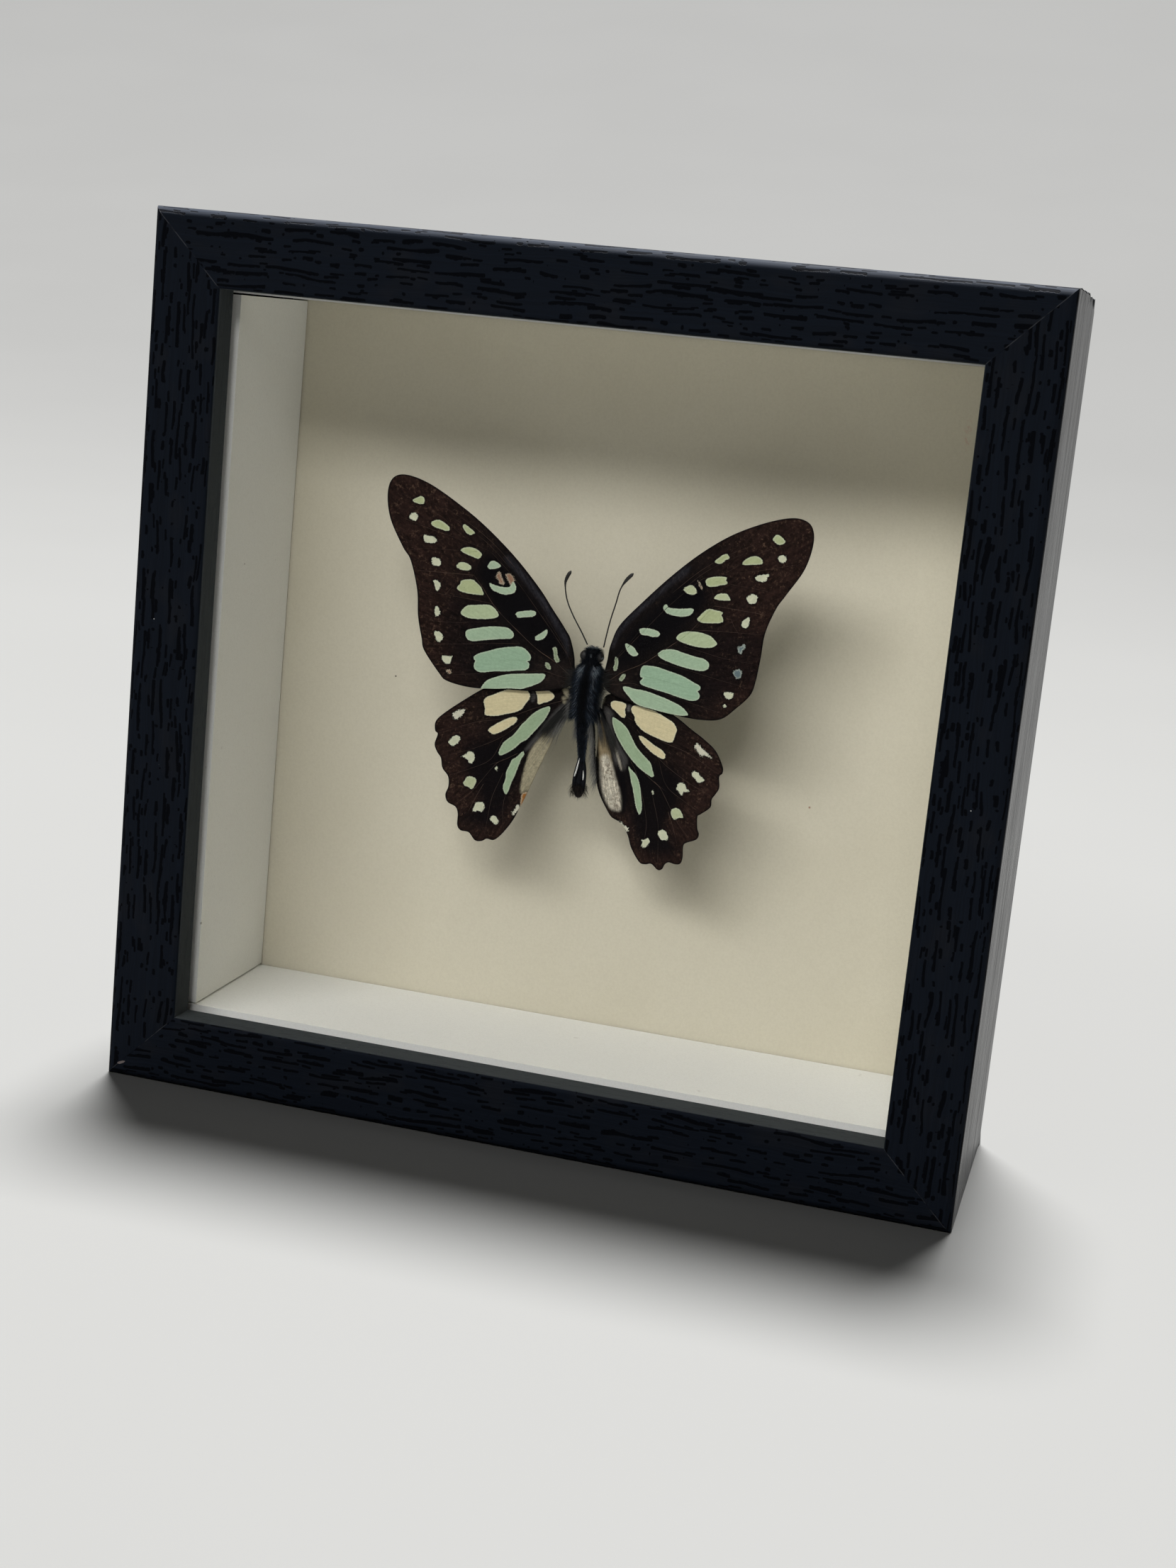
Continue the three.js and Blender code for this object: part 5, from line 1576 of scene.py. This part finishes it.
def antenna_mesh(name, course, settings):
    """A thin stalk that swells into a long club."""
    bm = bmesh.new()
    line = smooth_line(course, 10, closed=False)
    travelled = np.concatenate([[0], np.cumsum(np.linalg.norm(np.diff(line, axis=0), axis=1))])
    left = travelled[-1] - travelled
    stalk, club = settings.stalk / MM, settings.club / MM
    radii = stalk + (club - stalk) * fade(left, 3.4, 1.2)
    radii *= np.sqrt(np.clip(left / 0.5, 0.04, 1))
    radii *= 1 + 0.05 * np.cos(travelled * 2 * math.pi / 0.45)
    add_tube(bm, line, radii, 12)
    return to_mesh(bm, name)


# ------------------------------------------------------------------ operators


def finish_nodes(names, material):
    """Gives the named solids their finish."""
    for name in names:
        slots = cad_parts[name].data.materials
        slots.clear()
        slots.append(material)


class SPECIMEN_OT_rails(bpy.types.Operator):
    """Builds the four foil-covered rails"""

    bl_idname = "specimen.rails"
    bl_label = "Frame rails"

    def execute(self, context):
        settings = context.scene.specimen.rails
        material = foil_finish(settings)
        for side in RAIL_TURNS:
            mesh = rail_mesh(side, settings)
            piece = add_piece(mesh, f"{side}_rail", [material], [f"rail_{side}"])
            weighted = piece.modifiers.new("Even shading", "WEIGHTED_NORMAL")
            weighted.keep_sharp = True
        return {"FINISHED"}


class SPECIMEN_OT_glazing(bpy.types.Operator):
    """Finishes the glass, the spacers and the backing card"""

    bl_idname = "specimen.glazing"
    bl_label = "Glass and lining"

    def execute(self, context):
        settings = context.scene.specimen.glazing
        finish_nodes(["glass_pane"], glass_finish(settings))
        finish_nodes(["backing_card"], card_finish(settings))
        finish_nodes([f"spacer_{side}" for side in RAIL_TURNS], spacer_finish(settings))
        return {"FINISHED"}


class SPECIMEN_OT_back(bpy.types.Operator):
    """Finishes the back board, its tabs, the hanger and the pin"""

    bl_idname = "specimen.back"
    bl_label = "Back and metal parts"

    def execute(self, context):
        settings = context.scene.specimen.back
        finish_nodes(["back_board"], board_finish(settings))
        tabs = [f"tab_{side}_{number}" for side in RAIL_TURNS for number in (1, 2)]
        steel = metal_finish("spring_steel", settings.steel, (6, 6, 0.6), paint(96, 92, 86))
        finish_nodes(tabs + ["mounting_pin"], steel)
        zinc = metal_finish("zinc_coating", settings.zinc, (1.2, 1.2, 1.2), paint(120, 122, 122))
        finish_nodes(["hanger_plate", "hanger_nail_1", "hanger_nail_2"], zinc)
        return {"FINISHED"}


class SPECIMEN_OT_wings(bpy.types.Operator):
    """Builds the four wings with their markings and veins"""

    bl_idname = "specimen.wings"
    bl_label = "Wings"

    def execute(self, context):
        settings = context.scene.specimen.wings
        material = wing_finish(settings)
        for name in WINGS:
            mesh = wing_mesh(name, settings)
            add_piece(mesh, name + "_scales", [material], [name])
        return {"FINISHED"}


class SPECIMEN_OT_body(bpy.types.Operator):
    """Builds the body with its eyes, claspers and hair"""

    bl_idname = "specimen.body"
    bl_label = "Body"

    def execute(self, context):
        settings = context.scene.specimen.body
        materials = [skin_finish(settings), eye_finish(settings), scale_finish()]
        add_piece(body_mesh(settings), "body_form", materials, ["butterfly_body"])
        hair = hair_finish("body_hair", settings)
        for mesh in (thorax_hair(settings), head_and_tail_hair(settings), long_hair(settings)):
            add_piece(mesh, mesh.name, [hair])
        return {"FINISHED"}


class SPECIMEN_OT_antennae(bpy.types.Operator):
    """Builds the two antennae"""

    bl_idname = "specimen.antennae"
    bl_label = "Antennae"

    def execute(self, context):
        settings = context.scene.specimen.body
        material = antenna_finish()
        for side, course in (("left", ANTENNA_LEFT), ("right", ANTENNA_RIGHT)):
            mesh = antenna_mesh(f"{side}_antenna", course, settings)
            add_piece(mesh, f"{side}_antenna", [material], [f"antenna_{side}"])
        return {"FINISHED"}


class SPECIMEN_OT_stage(bpy.types.Operator):
    """Sets up the floor, the light and the camera"""

    bl_idname = "specimen.stage"
    bl_label = "Stage"

    def execute(self, context):
        stage = context.scene.specimen.stage
        add_sweep(floor_finish(stage))
        add_sky(stage.sky)
        add_front_light(stage.key)
        add_top_light(stage.top)
        add_camera(stage)
        context.scene.view_settings.view_transform = "Standard"
        return {"FINISHED"}


SWEEP_FLAT = 0.5  # where the floor begins to rise into the backdrop, in metres behind the frame
SWEEP_RISE = 0.1  # height of the backdrop, for each square metre behind that line
SWEEP_FRONT, SWEEP_BACK, SWEEP_WIDTH = -5, 7, 12  # metres
FRONT_LIGHT_PLACE, FRONT_LIGHT_SIZE = (-0.55, -2.3, 1.9), (2.6, 0.65)  # metres
TOP_LIGHT_PLACE, TOP_LIGHT_ANGLE = (-0.12, 0.74, 3), 15  # metres, degrees


def add_sweep(material):
    """The floor, which rises into a backdrop behind the frame."""
    bm = bmesh.new()
    steps = [SWEEP_FRONT, *np.linspace(SWEEP_FLAT, SWEEP_BACK, 40)]
    line = [(y, SWEEP_RISE * max(y - SWEEP_FLAT, 0) ** 2) for y in steps]
    verts = [bm.verts.new((-SWEEP_WIDTH / 2, y, z)) for y, z in line]
    edges = [bm.edges.new(pair) for pair in zip(verts, verts[1:])]
    grown = bmesh.ops.extrude_edge_only(bm, edges=edges)["geom"]
    far = only(bmesh.types.BMVert, grown)
    bmesh.ops.translate(bm, vec=(SWEEP_WIDTH, 0, 0), verts=far)
    bmesh.ops.recalc_face_normals(bm, faces=bm.faces)
    mesh = bpy.data.meshes.new("studio_sweep")
    bm.to_mesh(mesh)
    bm.free()
    mesh.shade_smooth()
    mesh.materials.append(material)
    sweep = bpy.data.objects.new("studio_sweep", mesh)
    bpy.context.scene.collection.objects.link(sweep)


def add_sky(strength):
    """Weak light from all round, behind a pale backdrop that is only seen directly."""
    world = bpy.data.worlds.new("studio_sky")
    world.use_nodes = True
    tree = world.node_tree
    weak = tree.nodes["Background"]
    weak.inputs["Color"].default_value = (*paint(254, 254, 252), 1)
    weak.inputs["Strength"].default_value = strength
    pale = tree.nodes.new("ShaderNodeBackground")
    pale.inputs["Color"].default_value = (*paint(208, 209, 207), 1)
    seen = tree.nodes.new("ShaderNodeLightPath")
    both = tree.nodes.new("ShaderNodeMixShader")
    tree.links.new(seen.outputs["Is Camera Ray"], both.inputs[0])
    tree.links.new(weak.outputs[0], both.inputs[1])
    tree.links.new(pale.outputs[0], both.inputs[2])
    tree.links.new(both.outputs[0], tree.nodes["World Output"].inputs["Surface"])
    bpy.context.scene.world = world


def hang_lamp(lamp, place):
    """Hangs a lamp that points at the middle of the frame."""
    light = bpy.data.objects.new(lamp.name, lamp)
    light.location = place
    light.rotation_mode = "QUATERNION"
    light.rotation_quaternion = (Vector(place) - Vector((0, 0, HALF * MM))).to_track_quat("Z", "Y")
    bpy.context.scene.collection.objects.link(light)


def add_front_light(power):
    """A wide, low softbox in front, a little to the left."""
    lamp = bpy.data.lights.new("front_light", "AREA")
    lamp.shape = "RECTANGLE"
    lamp.size, lamp.size_y = FRONT_LIGHT_SIZE
    lamp.energy = power
    hang_lamp(lamp, FRONT_LIGHT_PLACE)


def add_top_light(strength):
    """A broad light overhead, a little behind the frame."""
    lamp = bpy.data.lights.new("top_light", "SUN")
    lamp.angle = math.radians(TOP_LIGHT_ANGLE)
    lamp.energy = strength
    hang_lamp(lamp, TOP_LIGHT_PLACE)


def add_camera(stage):
    """The camera, where the stage settings put it."""
    lens = bpy.data.cameras.new("camera")
    lens.sensor_width = 36
    lens.lens = stage.lens
    lens.clip_start, lens.clip_end = 0.01, 20
    camera = bpy.data.objects.new("camera", lens)
    camera.location = stage.camera_place
    camera.rotation_mode = "QUATERNION"
    aim = Vector(stage.camera_aim) - Vector(stage.camera_place)
    roll = Quaternion((0, 0, 1), stage.camera_roll)
    camera.rotation_quaternion = aim.to_track_quat("-Z", "Y") @ roll
    bpy.context.scene.collection.objects.link(camera)
    bpy.context.scene.camera = camera


OPERATORS = (
    SPECIMEN_OT_rails,
    SPECIMEN_OT_glazing,
    SPECIMEN_OT_back,
    SPECIMEN_OT_wings,
    SPECIMEN_OT_body,
    SPECIMEN_OT_antennae,
    SPECIMEN_OT_stage,
)


class SPECIMEN_PT_panel(bpy.types.Panel):
    """Lists the specimen's operators and settings"""

    bl_idname = "SPECIMEN_PT_panel"
    bl_label = "Framed butterfly"
    bl_space_type = "VIEW_3D"
    bl_region_type = "UI"
    bl_category = "Specimen"

    def draw(self, context):
        settings = context.scene.specimen
        for operator in OPERATORS:
            self.layout.operator(operator.bl_idname)
        for group in (settings.rails, settings.glazing, settings.back, settings.wings,
                      settings.body, settings.stage):
            box = self.layout.box()
            for name in group.__annotations__:
                box.prop(group, name)


GROUPS = (FrameSettings, GlazingSettings, BackSettings, WingSettings, BodySettings, StageSettings,
          SpecimenSettings)
CLASSES = (*GROUPS, *OPERATORS, SPECIMEN_PT_panel)


def register():
    for cls in CLASSES:
        bpy.utils.register_class(cls)
    bpy.types.Scene.specimen = PointerProperty(type=SpecimenSettings)


def unregister():
    del bpy.types.Scene.specimen
    for cls in reversed(CLASSES):
        bpy.utils.unregister_class(cls)


def main():
    register()
    for operator in OPERATORS:
        group, name = operator.bl_idname.split(".")
        getattr(getattr(bpy.ops, group), name)()


if __name__ == "__main__":
    main()
